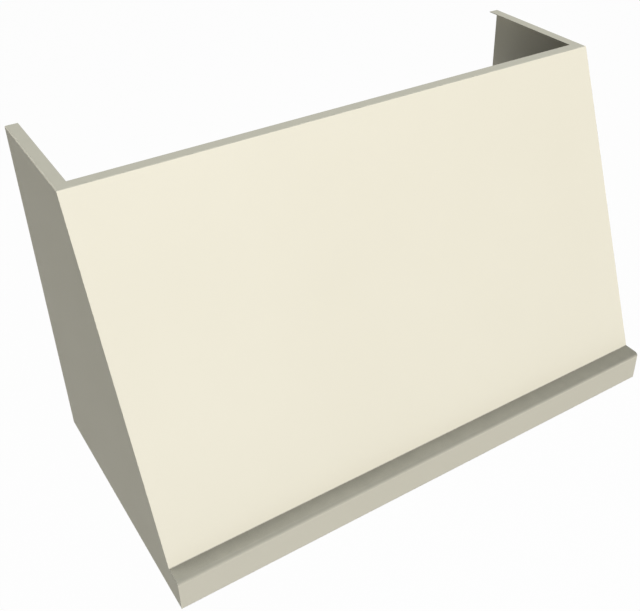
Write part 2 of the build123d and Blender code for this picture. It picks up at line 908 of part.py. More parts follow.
# Motor with a bearing boss at each end and vents in both end bells
motor_half = motor_length / 2
with BuildPart() as motor_body:
    with BuildSketch(axle_plane):
        with BuildLine():
            Polyline(
                (-motor_half - motor_boss_length, shaft_radius + shaft_play),
                (-motor_half - motor_boss_length, motor_boss_radius),
                (-motor_half, motor_boss_radius),
                (-motor_half, motor_bell_radius),
                (-motor_half + motor_bell, motor_radius),
                (motor_half - motor_bell, motor_radius),
                (motor_half, motor_bell_radius),
                (motor_half, motor_boss_radius),
                (motor_half + motor_boss_length, motor_boss_radius),
                (motor_half + motor_boss_length, shaft_radius + shaft_play),
                close=True,
            )
        make_face()
    revolve(axis=fan_axis)
    for side in (-1, 1):
        bell_plane = Plane(origin=(side * motor_half, fan_y, fan_z), x_dir=(0, 1, 0), z_dir=(1, 0, 0))
        with BuildSketch(bell_plane):
            with PolarLocations(motor_vent_radius, motor_vent_count):
                SlotOverall(motor_vent_length, motor_vent_width)
        extrude(amount=-side * motor_vent_depth, mode=Mode.SUBTRACT)
save(motor_body, "motor_body")

# Motor hangers: two plates round the motor, folded under the deck
hanger_half = motor_radius + hanger_margin
with BuildPart() as motor_hangers:
    for side in (-1, 1):
        with BuildSketch(Plane.YZ.offset(side * hanger_spacing / 2)):
            with Locations((fan_y, (fan_z + deck_z) / 2)):
                Rectangle(2 * hanger_half, deck_z - fan_z)
            with Locations((fan_y, fan_z)):
                Circle(hanger_half)
                Circle(motor_radius + hanger_play, mode=Mode.SUBTRACT)
        extrude(amount=-side * hanger_sheet)
        hanger_foot = outline(
            Plane.XY.offset(deck_z),
            [
                (side * hanger_spacing / 2, fan_y - hanger_half),
                (side * (hanger_spacing / 2 - hanger_flange), fan_y - hanger_half),
                (side * (hanger_spacing / 2 - hanger_flange), fan_y + hanger_half),
                (side * hanger_spacing / 2, fan_y + hanger_half),
            ],
        )
        extrude(hanger_foot, amount=-hanger_sheet)
save(motor_hangers, "motor_hangers")

# Motor shaft, carrying a fan wheel at each end
with BuildPart() as motor_shaft:
    with BuildSketch(Plane.YZ.offset(-shaft_half)):
        with Locations((fan_y, fan_z)):
            Circle(shaft_radius)
    extrude(amount=2 * shaft_half)
save(motor_shaft, "motor_shaft")

# Fan wheels: forward-curved blades between two rings, on a disc with a hub
fan_width = scroll_width - 2 * (scroll_sheet + fan_side_gap)
blade_inner = fan_radius - blade_depth
blade_outer = fan_radius - blade_sheet
with BuildSketch() as blade:
    with BuildLine():
        ThreePointArc(
            (blade_inner, 0),
            ((blade_inner + blade_outer) / 2, -blade_bow),
            (blade_outer, blade_lean),
        )
        offset(amount=blade_sheet, side=Side.LEFT)
    make_face()

for name, side in (("left", -1), ("right", 1)):
    wheel_x = side * scroll_centre
    blade_plane = Plane(
        origin=(wheel_x - fan_width / 2, fan_y, fan_z), x_dir=(0, 1, 0), z_dir=(1, 0, 0)
    )
    disc_plane = blade_plane.offset(fan_width / 2 - fan_disc / 2)
    with BuildPart() as fan_wheel:
        with BuildSketch(blade_plane):
            with PolarLocations(0, blade_count):
                add(blade.sketch)
        extrude(amount=fan_width)
        for ring_start in (0, fan_width - fan_ring):
            with BuildSketch(blade_plane.offset(ring_start)):
                Circle(fan_radius)
                Circle(fan_radius - fan_ring_depth, mode=Mode.SUBTRACT)
            extrude(amount=fan_ring)
        with BuildSketch(disc_plane):
            Circle(fan_radius)
        extrude(amount=fan_disc)
        with BuildSketch(blade_plane.offset((fan_width - hub_length) / 2)):
            Circle(hub_radius)
        extrude(amount=hub_length)
        with BuildSketch(blade_plane):
            Circle(shaft_radius + shaft_play)
        extrude(amount=fan_width, mode=Mode.SUBTRACT)
    save(fan_wheel, f"{name}_fan_wheel")

# Duct transition from both outlets to the round neck
duct_y = -duct_setback


def transition_base(grow):
    """Rectangle round both outlets, at the deck."""
    with BuildSketch(Plane.XY.offset(deck_top)) as base:
        with Locations((0, outlet_middle)):
            Rectangle(
                2 * (scroll_outer + transition_margin + grow),
                outlet_back - outlet_front + 2 * (transition_margin + grow),
            )
    return base.sketch


def transition_neck(radius):
    """Circle at the top of the transition."""
    with BuildSketch(Plane.XY.offset(transition_top)) as neck:
        with Locations((0, duct_y)):
            Circle(radius)
    return neck.sketch


neck_radius = duct_radius - duct_sheet - neck_play
with BuildPart() as duct_transition:
    loft([transition_base(0), transition_neck(neck_radius)])
    extrude(transition_base(transition_flange), amount=duct_sheet)
    extrude(transition_neck(neck_radius), amount=neck_height)
    loft(
        [transition_base(-duct_sheet), transition_neck(neck_radius - duct_sheet)],
        mode=Mode.SUBTRACT,
    )
    extrude(transition_neck(neck_radius - duct_sheet), amount=neck_height, mode=Mode.SUBTRACT)
save(duct_transition, "duct_transition")

# Duct collar with a rolled bead, over the transition's neck
duct_axis = Axis((0, duct_y, 0), (0, 0, 1))
duct_plane = Plane(origin=(0, duct_y, 0), x_dir=(1, 0, 0), z_dir=(0, -1, 0))
bead_z = collar_bottom + bead_height
with BuildPart() as duct_collar:
    with BuildSketch(duct_plane):
        with BuildLine():
            Line((duct_radius, collar_bottom), (duct_radius, bead_z - bead_radius))
            CenterArc((duct_radius, bead_z), bead_radius, -90, 180)
            Line((duct_radius, bead_z + bead_radius), (duct_radius, collar_bottom + collar_height))
            offset(amount=duct_sheet, side=Side.LEFT)
        make_face()
    revolve(axis=duct_axis)
    with BuildSketch(Plane.YZ.offset(-duct_radius - bead_radius)):
        with Locations((duct_y, damper_z)):
            Circle(damper_rod_radius + damper_rod_play)
    extrude(amount=2 * (duct_radius + bead_radius), mode=Mode.SUBTRACT)
save(duct_collar, "duct_collar")

# Damper seat: a ring on the neck that the closed flaps lie on
with BuildPart() as damper_seat:
    with BuildSketch(Plane.XY.offset(seat_bottom)):
        with Locations((0, duct_y)):
            Circle(duct_radius - duct_sheet - seat_play)
            Circle(duct_radius - duct_sheet - seat_width, mode=Mode.SUBTRACT)
    extrude(amount=seat_height)
save(damper_seat, "damper_seat")

# Damper rod across the collar
damper_rod_half = duct_radius + damper_rod_overhang
with BuildPart() as damper_rod:
    with BuildSketch(Plane.YZ.offset(-damper_rod_half)):
        with Locations((duct_y, damper_z)):
            Circle(damper_rod_radius)
    extrude(amount=2 * damper_rod_half)
save(damper_rod, "damper_rod")

# Damper flaps: half discs with knuckles on the rod, each notched for the other's knuckles
notch_depth = 2 * (knuckle_radius + knuckle_gap)
notch_length = knuckle_length + 2 * knuckle_gap
for name, side, own, other in (
    ("front", -1, front_knuckle_spacing, rear_knuckle_spacing),
    ("rear", 1, rear_knuckle_spacing, front_knuckle_spacing),
):
    with BuildPart() as damper_flap:
        with BuildSketch(Plane.XY.offset(flap_bottom)):
            with Locations((0, duct_y)):
                Circle(flap_radius)
            with Locations((0, duct_y + side * (flap_split_gap - flap_radius))):
                Rectangle(2 * flap_radius, 2 * flap_radius, mode=Mode.SUBTRACT)
            with Locations((0, duct_y)):
                with GridLocations(other, 1, 2, 1):
                    Rectangle(notch_length, notch_depth, mode=Mode.SUBTRACT)
        extrude(amount=flap_sheet)
        for knuckle_x in (-own / 2, own / 2):
            with BuildSketch(Plane.YZ.offset(knuckle_x - knuckle_length / 2)):
                with Locations((duct_y, damper_z)):
                    Circle(knuckle_radius)
            extrude(amount=knuckle_length)
        with BuildSketch(Plane.YZ.offset(-damper_rod_half)):
            with Locations((duct_y, damper_z)):
                Circle(damper_rod_radius + damper_rod_play)
        extrude(amount=2 * damper_rod_half, mode=Mode.SUBTRACT)
    save(damper_flap, f"{name}_damper_flap")

# Junction box on the deck, open on top, with the power knockout at the back
box_place = (bay_half - box_inset, outlet_middle)
with BuildPart() as junction_box:
    with BuildSketch(Plane.XY.offset(deck_top)):
        with Locations(box_place):
            RectangleRounded(box_width, box_depth, box_corner)
    extrude(amount=box_height)
    with BuildSketch(Plane.XY.offset(deck_top + box_sheet)):
        with Locations(box_place):
            RectangleRounded(
                box_width - 2 * box_sheet, box_depth - 2 * box_sheet, box_corner - box_sheet
            )
    extrude(amount=box_height, mode=Mode.SUBTRACT)
    with BuildSketch(Plane.XZ.offset(-outlet_middle)):
        with Locations((box_place[0], deck_top + power_hole_height)):
            Circle(power_hole_radius)
    extrude(amount=-box_depth / 2, mode=Mode.SUBTRACT)
save(junction_box, "junction_box")

# Junction box cover, with a lip down the outside of the box
cover_width = box_width + 2 * (box_sheet + box_cover_play)
cover_depth = box_depth + 2 * (box_sheet + box_cover_play)
box_top = deck_top + box_height
with BuildPart() as junction_box_cover:
    with BuildSketch(Plane.XY.offset(box_top + box_sheet)):
        with Locations(box_place):
            RectangleRounded(cover_width, cover_depth, box_corner + box_sheet + box_cover_play)
    extrude(amount=-box_cover_lip)
    with BuildSketch(Plane.XY.offset(box_top)):
        with Locations(box_place):
            RectangleRounded(
                box_width + 2 * box_cover_play,
                box_depth + 2 * box_cover_play,
                box_corner + box_cover_play,
            )
    extrude(amount=-box_cover_lip, mode=Mode.SUBTRACT)
save(junction_box_cover, "junction_box_cover")

# Run capacitor lying on the deck, with two blade terminals
capacitor_x = -(bay_half - capacitor_inset)
capacitor_z = deck_top + capacitor_radius
capacitor_end = capacitor_x - capacitor_length / 2
with BuildPart() as run_capacitor:
    with BuildSketch(Plane.YZ.offset(capacitor_end)):
        with Locations((outlet_middle, capacitor_z)):
            Circle(capacitor_radius)
    extrude(amount=capacitor_length)
    with BuildSketch(Plane.YZ.offset(capacitor_end)):
        with Locations((outlet_middle, capacitor_z)):
            with GridLocations(capacitor_radius, 1, 2, 1):
                Rectangle(terminal_sheet, terminal_width)
    extrude(amount=-terminal_length)
save(run_capacitor, "run_capacitor")

# Capacitor clip: a strap over the can with a foot on each side
strap_radius = capacitor_radius + capacitor_clip_sheet
with BuildPart() as capacitor_clip:
    with BuildSketch(Plane.YZ.offset(capacitor_x - capacitor_clip_width / 2)):
        with Locations((outlet_middle, capacitor_z)):
            Circle(strap_radius)
        with Locations((outlet_middle, deck_top + capacitor_radius / 2)):
            Rectangle(2 * strap_radius, capacitor_radius)
        with Locations((outlet_middle, deck_top + capacitor_clip_sheet / 2)):
            Rectangle(2 * (strap_radius + capacitor_clip_foot), capacitor_clip_sheet)
        with Locations((outlet_middle, capacitor_z)):
            Circle(capacitor_radius, mode=Mode.SUBTRACT)
        with Locations((outlet_middle, deck_top + capacitor_radius / 2)):
            Rectangle(2 * capacitor_radius, capacitor_radius, mode=Mode.SUBTRACT)
        with Locations((outlet_middle, deck_top - capacitor_radius / 2)):
            Rectangle(4 * strap_radius, capacitor_radius, mode=Mode.SUBTRACT)
    extrude(amount=capacitor_clip_width)
save(capacitor_clip, "capacitor_clip")

# Speed control and light dimmer above the panel, each with its spindle and knob
strip_top = strip_height + liner_sheet
bushing_end = strip_top - bushing_length
nut_top = strip_height
knob_top = bushing_end - knob_nut_gap
knob_bottom = knob_top - knob_height
spindle_bottom = knob_bottom + knob_skirt + knob_dome
spindle_top = bushing_end + spindle_length - spindle_end_gap
for control, spindle, knob, side in (
    ("speed_control", "speed_spindle", "speed_knob", -1),
    ("light_dimmer", "light_spindle", "light_knob", 1),
):
    place = (side * control_spacing / 2, strip_middle)
    with BuildPart() as control_body:
        with BuildSketch(Plane.XY.offset(strip_top)):
            with Locations(place):
                RectangleRounded(control_width, control_depth, control_corner)
        extrude(amount=control_height)
        with BuildSketch(Plane.XY.offset(strip_top)):
            with Locations(place):
                Circle(bushing_radius)
        extrude(amount=-bushing_length)
        with BuildSketch(Plane.XY.offset(bushing_end)):
            with Locations(place):
                Circle(spindle_radius + spindle_play)
        extrude(amount=spindle_top - bushing_end, mode=Mode.SUBTRACT)
    save(control_body, control)

    with BuildPart() as control_spindle:
        with BuildSketch(Plane.XY.offset(spindle_bottom)):
            with Locations(place):
                Circle(spindle_radius)
        extrude(amount=spindle_top - spindle_play - spindle_bottom)
    save(control_spindle, spindle)

    with BuildPart() as control_knob:
        with BuildSketch(Plane.XY.offset(knob_top)):
            with Locations(place):
                Circle(knob_radius)
        extrude(amount=-knob_height)
        fillet(control_knob.faces().sort_by(Axis.Z)[0].edges(), knob_dome)
        with BuildSketch(Plane.XY.offset(knob_top - knob_skirt)):
            with Locations(place):
                with PolarLocations(knob_radius, knob_groove_count):
                    Circle(knob_groove_radius)
        extrude(amount=-knob_height, mode=Mode.SUBTRACT)
        with BuildSketch(Plane.XY.offset(knob_top)):
            with Locations(place):
                Circle(spindle_radius)
        extrude(amount=spindle_bottom - knob_top, mode=Mode.SUBTRACT)
    save(control_knob, knob)

# Nuts that hold both bushings in the panel
with BuildPart() as control_nuts:
    with BuildSketch(Plane.XY.offset(nut_top)):
        with Locations((0, strip_middle)):
            with GridLocations(control_spacing, 1, 2, 1):
                RegularPolygon(nut_across_flats / 2, 6, major_radius=False)
                Circle(bushing_radius + bushing_hole_gap, mode=Mode.SUBTRACT)
    extrude(amount=-nut_height)
save(control_nuts, "control_nuts")

# Lamps: finned cans above the panel, bezels below it and lenses between
can_radius = lamp_hole_radius - lamp_play
lens_radius = can_radius - lamp_can_wall - lamp_lens_play
lens_top = strip_height
lamp_places = [
    (-lamp_spacing * (lamp_count - 1) / 2 + lamp_spacing * i, strip_middle) for i in range(lamp_count)
]
with BuildPart() as lamp_housings:
    with BuildSketch(Plane.XY.offset(strip_height)):
        with Locations(*lamp_places):
            Circle(can_radius)
    extrude(amount=lamp_can_height)
    for fin in range(lamp_fin_count):
        slot_top = strip_height + lamp_can_height - lamp_fin_slot - fin * lamp_fin_pitch
        with BuildSketch(Plane.XY.offset(slot_top)):
            with Locations(*lamp_places):
                Circle(can_radius)
                Circle(can_radius - lamp_fin_depth, mode=Mode.SUBTRACT)
        extrude(amount=-lamp_fin_slot, mode=Mode.SUBTRACT)
save(lamp_housings, "lamp_housings")

with BuildPart() as lamp_bezels:
    with BuildSketch(Plane.XY.offset(strip_height)):
        with Locations(*lamp_places):
            Circle(lamp_bezel_radius)
            Circle(lens_radius + lamp_lens_play, mode=Mode.SUBTRACT)
    extrude(amount=-lamp_bezel_height)
    outer_edges = lamp_bezels.edges().filter_by(GeomType.CIRCLE).group_by(Axis.Z)[0]
    chamfer(outer_edges.group_by(SortBy.RADIUS)[-1], lamp_bezel_height / 2)
save(lamp_bezels, "lamp_bezels")

with BuildPart() as lamp_lenses:
    with BuildSketch(Plane.XY.offset(lens_top)):
        with Locations(*lamp_places):
            Circle(lens_radius)
    extrude(amount=-lamp_lens_height)
save(lamp_lenses, "lamp_lenses")
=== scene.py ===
"""Looks of the wall-hung range hood: finishes, small fittings, light and camera round its solids.

Metres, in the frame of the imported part: X along the width, +Y into the wall, Z up,
with the origin on the wall plane at the middle of the hood's bottom edge.
"""

import json
import math

import bmesh
import bpy
from mathutils import Matrix, Vector


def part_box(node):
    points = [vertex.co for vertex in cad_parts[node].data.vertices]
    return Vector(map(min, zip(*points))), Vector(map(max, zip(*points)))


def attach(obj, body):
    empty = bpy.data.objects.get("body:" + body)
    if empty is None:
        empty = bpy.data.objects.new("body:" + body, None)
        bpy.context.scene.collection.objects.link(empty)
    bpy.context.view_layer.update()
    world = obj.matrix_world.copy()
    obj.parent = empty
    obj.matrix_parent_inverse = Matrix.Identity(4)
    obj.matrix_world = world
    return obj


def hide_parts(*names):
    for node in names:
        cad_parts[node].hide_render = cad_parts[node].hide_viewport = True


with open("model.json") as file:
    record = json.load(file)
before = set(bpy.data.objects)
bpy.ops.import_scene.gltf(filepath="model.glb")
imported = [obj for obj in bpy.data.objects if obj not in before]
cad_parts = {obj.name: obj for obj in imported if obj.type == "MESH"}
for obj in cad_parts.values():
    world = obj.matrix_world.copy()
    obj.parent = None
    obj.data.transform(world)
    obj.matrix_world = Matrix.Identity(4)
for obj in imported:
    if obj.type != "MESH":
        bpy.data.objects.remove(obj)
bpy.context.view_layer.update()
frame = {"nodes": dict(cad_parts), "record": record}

MM = 0.001

# Camera, solved from the corners of the hood in the photograph
CAMERA_PLACE = Vector((-0.9270, -1.7033, 1.5072))
CAMERA_FORWARD = Vector((0.45172, 0.69720, -0.55665))
CAMERA_ROLL = math.radians(-0.323)
CAMERA_LENS = 51.813
CAMERA_SHIFT = (-0.05203, -0.05871)

# Stage: the floor lies well below the hood, so that its underside can be looked at
FLOOR_Z = -3.4
FLOOR_SIZE = 120.0

# Stage: what is seen is white, apart from a little of the floor's own colour with the shadow on it
WHITE = (1, 1, 1, 1)
FLOOR_GLOW = 0.97
FLOOR_COLOUR = (0.551, 0.567, 0.560, 1)
FLOOR_ROUGHNESS = 0.9
AMBIENT_COLOUR = (1.0, 1.0, 0.93, 1)
AMBIENT_STRENGTH = 0.05

# Lights: a large key from the front and above, and a small fill beside each end
KEY_PLACE = (1.75, -7.4, 22.2)
KEY_TARGET = (0, -0.40, 0.40)
KEY_SIZE = 11.0
KEY_POWER = 7230.0
LEFT_FILL_PLACE = (-4.2, -1.4, -0.5)
LEFT_FILL_TARGET = (-0.6, -0.30, 0.38)
LEFT_FILL_POWER = 10.5
RIGHT_FILL_PLACE = (4.2, -0.2, -0.5)
RIGHT_FILL_TARGET = (0.6, -0.30, 0.38)
RIGHT_FILL_POWER = 20.0
FILL_SIZE = 1.6

# Canopy: sizes of its folded sheets that no box gives
TOP_DEPTH = 304.8 * MM
LEDGE_DEPTH = 38.1 * MM
LIP_HEIGHT = 76.2 * MM
BOTTOM_FLANGE = 25.4 * MM
SHELL_SHEET = 1.5 * MM
RAIL_SHEET = 2.0 * MM

# Canopy: screws of the bottom flange, welds of the rear rails and of the slanted front
FRONT_SCREWS = 6
FRONT_SCREW_REACH = 520.0 * MM
SIDE_SCREWS = 3
SIDE_SCREW_FRONT = -500.0 * MM
SIDE_SCREW_BACK = -100.0 * MM
RAIL_WELDS = 3
RAIL_WELD_END = 14.0 * MM
RAIL_WELD_ROWS = (9.0 * MM, 24.0 * MM)
SLANT_WELDS = 13
SLANT_WELD_INSET = 9.0 * MM
SLANT_END_SHARE = 0.05

# Liner: welds of the plenum's back wall, and screws of the lamp strip
WALL_WELDS = 9
WALL_WELD_INSET = 8.0 * MM
WALL_WELD_FOOT = 30.0 * MM
WALL_WELD_HEAD = 25.0 * MM
GUTTER_WELDS = 13
GUTTER_WELD_END = 60.0 * MM
STRIP_SCREW_END = 22.0 * MM
STRIP_SCREW_OFFSET = 36.0 * MM

# Filters: slope of the panels, sizes of their frames, and the rivets at the corners
FILTER_NUMBERS = (1, 2, 3, 4)
FILTER_SLOPE = math.radians(15.0)
FILTER_HALF_HEIGHT = 12.5 * MM
FILTER_RIM = 14.0 * MM
ROD_TO_FILTER = 9.0 * MM
HANDLE_RADIUS = 3.5 * MM
RIVET_PITCH = 16.0 * MM

# Dials: the knobs turn through this sweep, open towards the wall
DIAL_START = math.radians(135.0)
DIAL_SWEEP = math.radians(270.0)
TICKS = 10
TICK_GAP = 3.0 * MM
TICK_LENGTH = 2.0 * MM
TICK_GROWTH = 0.35 * MM
TICK_WIDTH = 0.9 * MM
INK_THICKNESS = 0.1 * MM

# Dials: place and length of the index line are shares of the knob's radius
INDEX_MIDDLE = 0.62
INDEX_LENGTH = 0.42
INDEX_WIDTH = 1.6 * MM
INLAY_THICKNESS = 0.3 * MM

# Lamps: heights are above the lens's face, and shares are of its radius
LAMPS = 4
LAMP_SIDES = 48
LENS_HEIGHT = 1.6 * MM
PRISMS = 9
PRISM_RUN = 0.9 * MM
PRISM_FLOOR = 0.9 * MM
REFLECTOR_GAP = 0.2 * MM
REFLECTOR_FACE = 1.8 * MM
REFLECTOR_RIM = 2.9 * MM
REFLECTOR_THROAT = 2.6 * MM
REFLECTOR_THROAT_SHARE = 0.34
REFLECTOR_BACK_SHARE = 0.30
SOURCE_FACE = 2.3 * MM
SOURCE_FACE_SHARE = 0.27
SOURCE_BACK_SHARE = 0.29
LAMP_BACK = 2.95 * MM

# Blower: outlets under the deck, motor, hangers, housings and the flat of the inlet rings
OUTLET_FRONT = -221.0 * MM
OUTLET_BACK = -105.0 * MM
OUTLET_SCREWS = 3
MOTOR_BOSS = 8.0 * MM
MOTOR_BOLTS = 4
MOTOR_BOLT_RADIUS = 46.0 * MM
HANGER_SHEET = 2.0 * MM
HANGER_FLANGE = 18.0 * MM
HANGER_BOLTS = 3
HANGER_BOLT_END = 14.0 * MM
SCROLL_SHEET = 1.0 * MM
SCROLL_FLANGE = 12.0 * MM
RING_RIVETS = 6
RING_FLAT_RADIUS = 82.0 * MM

# Duct: sheets, screws of the transition's flange and the lap seam of the collar
DUCT_SHEET = 1.0 * MM
SEAT_PLAY = 0.1 * MM
FLANGE_MIDDLE = 6.0 * MM
FLANGE_FROM_OUTLET = 10.0 * MM
FLANGE_ROW_SCREWS = 7
FLANGE_ROW_END = 30.0 * MM
FLANGE_END_SCREWS = 3
SEAM_WIDTH = 14.0 * MM
SEAM_SHEET = 0.8 * MM
SEAM_WELDS = 4
SEAM_WELD_END = 8.0 * MM

# Damper: beads of the flaps, each with its place and length as shares of the duct's radius
FLAP_SHEET = 1.0 * MM
FLAP_BEADS = ((0.34, 1.30), (0.62, 0.86))
BEAD_WIDTH = 7.0 * MM
BEAD_RISE = 1.4 * MM

# Bead: its section as shares of the full width and rise, and the steps of its round ends
BEAD_SECTION = ((0.5, 0.0), (0.36, 0.75), (0.18, 1.0))
BEAD_STEPS = 8

# Electrics: capacitor and junction box
TERMINAL_LENGTH = 9.0 * MM
CRIMP_SETBACK = 5.0 * MM
CAN_SIDES = 48
COVER_LIP = 10.0 * MM
KNOCKOUT_HEIGHT = 20.0 * MM
KNOCKOUT_INSET = 30.0 * MM

# Ways for a place's Z axis to face
UP = Matrix.Identity(4)
DOWN = Matrix.Rotation(math.pi, 4, "X")
TO_FRONT = Matrix.Rotation(math.pi / 2, 4, "X")
TO_BACK = Matrix.Rotation(-math.pi / 2, 4, "X")
TO_LEFT = Matrix.Rotation(-math.pi / 2, 4, "Y")
TO_RIGHT = Matrix.Rotation(math.pi / 2, 4, "Y")

# Finishes: sockets of a mix node that take and give colours
MIX_FIRST = 6
MIX_SECOND = 7
MIX_RESULT = 2

# Finishes: nearly all of a noise lies between these values
NOISE_LOW = 0.3
NOISE_HIGH = 0.7

# Finishes: how much the roughness of one surface varies, and the strokes of a brushed one
ROUGHNESS_SPREAD = 0.12
STROKES_ALONG = 4.0
STROKES_ACROSS = 900.0

# Powder coat: the full coat's darker and lighter tone, overspray darkened as painted shade inside, and
# painted shade on upward faces in a light and a deep tone
COAT_TONES = ((0.845, 0.799, 0.662, 1), (0.890, 0.846, 0.710, 1))
OVERSPRAY_AND_SHADE = (0.340, 0.326, 0.274, 1)
SHADE_TONES = ((0.368, 0.361, 0.303, 1), (0.139, 0.136, 0.112, 1))
# Reaches of the painted light towards the left, of the painted shade in corners and along the ledge,
# and its fade over the ledge's edge
PAINTED_LIGHT_REACH = 500.0 * MM
SHADE_CORNER_REACH = 90.0 * MM
SHADE_LEDGE_REACH = 600.0 * MM
LEDGE_FADE = 2.0 * MM

# Lens glass: its darker and lighter tone
GLASS_TONES = ((0.93, 0.94, 0.92, 1), (0.98, 0.98, 0.97, 1))


class Nodes:
    """A node tree, with short calls for adding nodes and joining them."""

    def __init__(self, tree):
        self.tree = tree

    def add(self, kind, inputs=None, **settings):
        """New node, with its inputs given by name or number."""
        node = self.tree.nodes.new(kind)
        for key, value in settings.items():
            setattr(node, key, value)
        for key, value in (inputs or {}).items():
            self.feed(node.inputs[key], value)
        return node

    def feed(self, socket, value):
        """Join a socket to another node's output, or set it to a plain value."""
        if isinstance(value, bpy.types.NodeSocket):
            self.tree.links.new(value, socket)
        else:
            socket.default_value = value

    def math(self, operation, first, second):
        return self.add("ShaderNodeMath", {0: first, 1: second}, operation=operation).outputs[0]


class Finish(Nodes):
    """One material's node tree, with calls for what the finishes share."""

    def __init__(self, name):
        self.material = bpy.data.materials.new(name)
        self.material.use_nodes = True
        super().__init__(self.material.node_tree)
        self.shader = self.tree.nodes["Principled BSDF"]
        self.place = self.add("ShaderNodeTexCoord").outputs["Object"]

    def set(self, **values):
        """Values of the shader's sockets, by name with underscores for spaces."""
        for key, value in values.items():
            self.feed(self.shader.inputs[key.replace("_", " ")], value)

    def split(self, vector):
        """X, Y and Z of a vector."""
        return self.add("ShaderNodeSeparateXYZ", {"Vector": vector}).outputs

    def stretched(self, scale, turn=0.0):
        """Coordinates turned about X and then scaled along each axis."""
        turned_place = self.place
        if turn:
            inputs = {"Vector": self.place, "Rotation": (turn, 0.0, 0.0)}
            turned_place = self.add("ShaderNodeMapping", inputs).outputs["Vector"]
        inputs = {"Vector": turned_place, "Scale": scale}
        return self.add("ShaderNodeMapping", inputs).outputs["Vector"]

    def noise(self, scale, detail=3.0, vector=None):
        inputs = {"Vector": vector or self.place, "Scale": scale, "Detail": detail}
        return self.add("ShaderNodeTexNoise", inputs).outputs["Fac"]

    def span(self, value, low, high, start=NOISE_LOW, end=NOISE_HIGH):
        """A value mapped from start..end to low..high."""
        inputs = {"Value": value, "From Min": start, "From Max": end, "To Min": low, "To Max": high}
        return self.add("ShaderNodeMapRange", inputs).outputs["Result"]

    def blend(self, factor, first, second):
        """Colour that goes from the first to the second as the factor goes from 0 to 1."""
        inputs = {"Factor": factor, MIX_FIRST: first, MIX_SECOND: second}
        return self.add("ShaderNodeMix", inputs, data_type="RGBA").outputs[MIX_RESULT]

    def mottle(self, noise, dark, light):
        """Colour that goes from one tone to another with a noise."""
        return self.blend(self.span(noise, 0.0, 1.0), dark, light)

    def bump(self, height, strength, depth):
        inputs = {"Height": height, "Strength": strength, "Distance": depth}
        return self.add("ShaderNodeBump", inputs).outputs["Normal"]


def grey(value, warmth=0.0):
    """Grey with a little warmth or, below zero, coolness."""
    return (value * (1 + warmth), value, value * (1 - warmth), 1.0)


def coat_colour(finish, place, facing):
    """Clouded cream with painted light, a touch lighter towards the left, that darkens to overspray
    inside the canopy.

    On the inner faces of the sides it darkens from the open back edge inwards,
    and on the back of the front panel it is a little darker all over;
    this darkening inside is painted shade over a partly real thinner coat.
    """
    # painted light: the coat is made lighter towards the left
    lighter = finish.span(place["X"], 0.6, 0.0, start=-PAINTED_LIGHT_REACH, end=PAINTED_LIGHT_REACH)
    clouds = finish.span(finish.noise(scale=2.2, detail=4.0), 0.0, 0.4)
    full_coat = finish.blend(finish.math("ADD", clouds, lighter), *COAT_TONES)
    outward = finish.math("MULTIPLY", facing["X"], place["X"])
    # painted shade: the inside of the canopy darkens deeper in from the open back edge, over a partly
    # real thinner overspray
    inner_side = finish.span(outward, 1.0, 0.0, start=-0.3, end=-0.1)
    from_back = finish.span(place["Y"], 1.0, 0.0, start=-TOP_DEPTH, end=0.0)
    inner_front = finish.span(facing["Y"], 0.0, 0.35, start=0.3, end=0.6)
    inside = finish.math("MAXIMUM", finish.math("MULTIPLY", inner_side, from_back), inner_front)
    uneven = finish.span(finish.noise(scale=5.0, detail=5.0), 0.75, 1.0)
    return finish.blend(finish.math("MULTIPLY", inside, uneven), full_coat, OVERSPRAY_AND_SHADE)


def painted_shade(finish, place, facing):
    """Share and colour of painted shade on upward faces.

    The painted shade is deeper in the corner behind the ledge and in other corners, and towards
    the ledge's right end. It fades out over the ledge's rounded front edge.
    """
    # painted shade: upward faces darkened, most in corners, on the ledge and towards its right end
    upward = facing["Z"]
    on_ledge = finish.span(place["Z"], 1.0, 0.0, start=LIP_HEIGHT, end=LIP_HEIGHT + LEDGE_FADE)
    tilt = finish.span(upward, 0.0, 1.0, start=0.0, end=1.0)
    rounded = finish.math("MULTIPLY", tilt, finish.math("SUBTRACT", 2.0, tilt))
    level = finish.span(upward, 0.0, 1.0, start=0.42, end=1.0)
    shade_share = finish.math("MAXIMUM", level, finish.math("MULTIPLY", on_ledge, rounded))
    patches = finish.span(finish.noise(scale=30.0, detail=5.0), 0.97, 1.0)
    open_air = finish.add("ShaderNodeAmbientOcclusion", {"Distance": SHADE_CORNER_REACH}).outputs["AO"]
    corner = finish.span(open_air, 1.0, 0.0, start=0.72, end=0.98)
    to_right = finish.span(place["X"], 0.50, 0.84, start=-SHADE_LEDGE_REACH, end=SHADE_LEDGE_REACH)
    shade_depth = finish.math("MAXIMUM", corner, finish.math("MULTIPLY", on_ledge, to_right))
    return finish.math("MULTIPLY", shade_share, patches), finish.blend(shade_depth, *SHADE_TONES)


def powder_coat():
    """Warm cream powder coat with orange peel, and painted shade on its upward faces."""
    finish = Finish("cream_powder_coat")
    place = finish.split(finish.place)
    facing = finish.split(finish.add("ShaderNodeNewGeometry").outputs["Normal"])
    # painted shade on upward faces and in corners, and painted light towards the left, are in the
    # coat's colour
    shade_share, shade_tone = painted_shade(finish, place, facing)
    finish.set(
        Base_Color=finish.blend(shade_share, coat_colour(finish, place, facing), shade_tone),
        Roughness=finish.span(finish.noise(scale=14.0), 0.62, 0.72),
        Specular_IOR_Level=0.08,
        Normal=finish.bump(finish.noise(scale=420.0, detail=2.0), strength=0.10, depth=0.4 * MM),
    )
    return finish.material


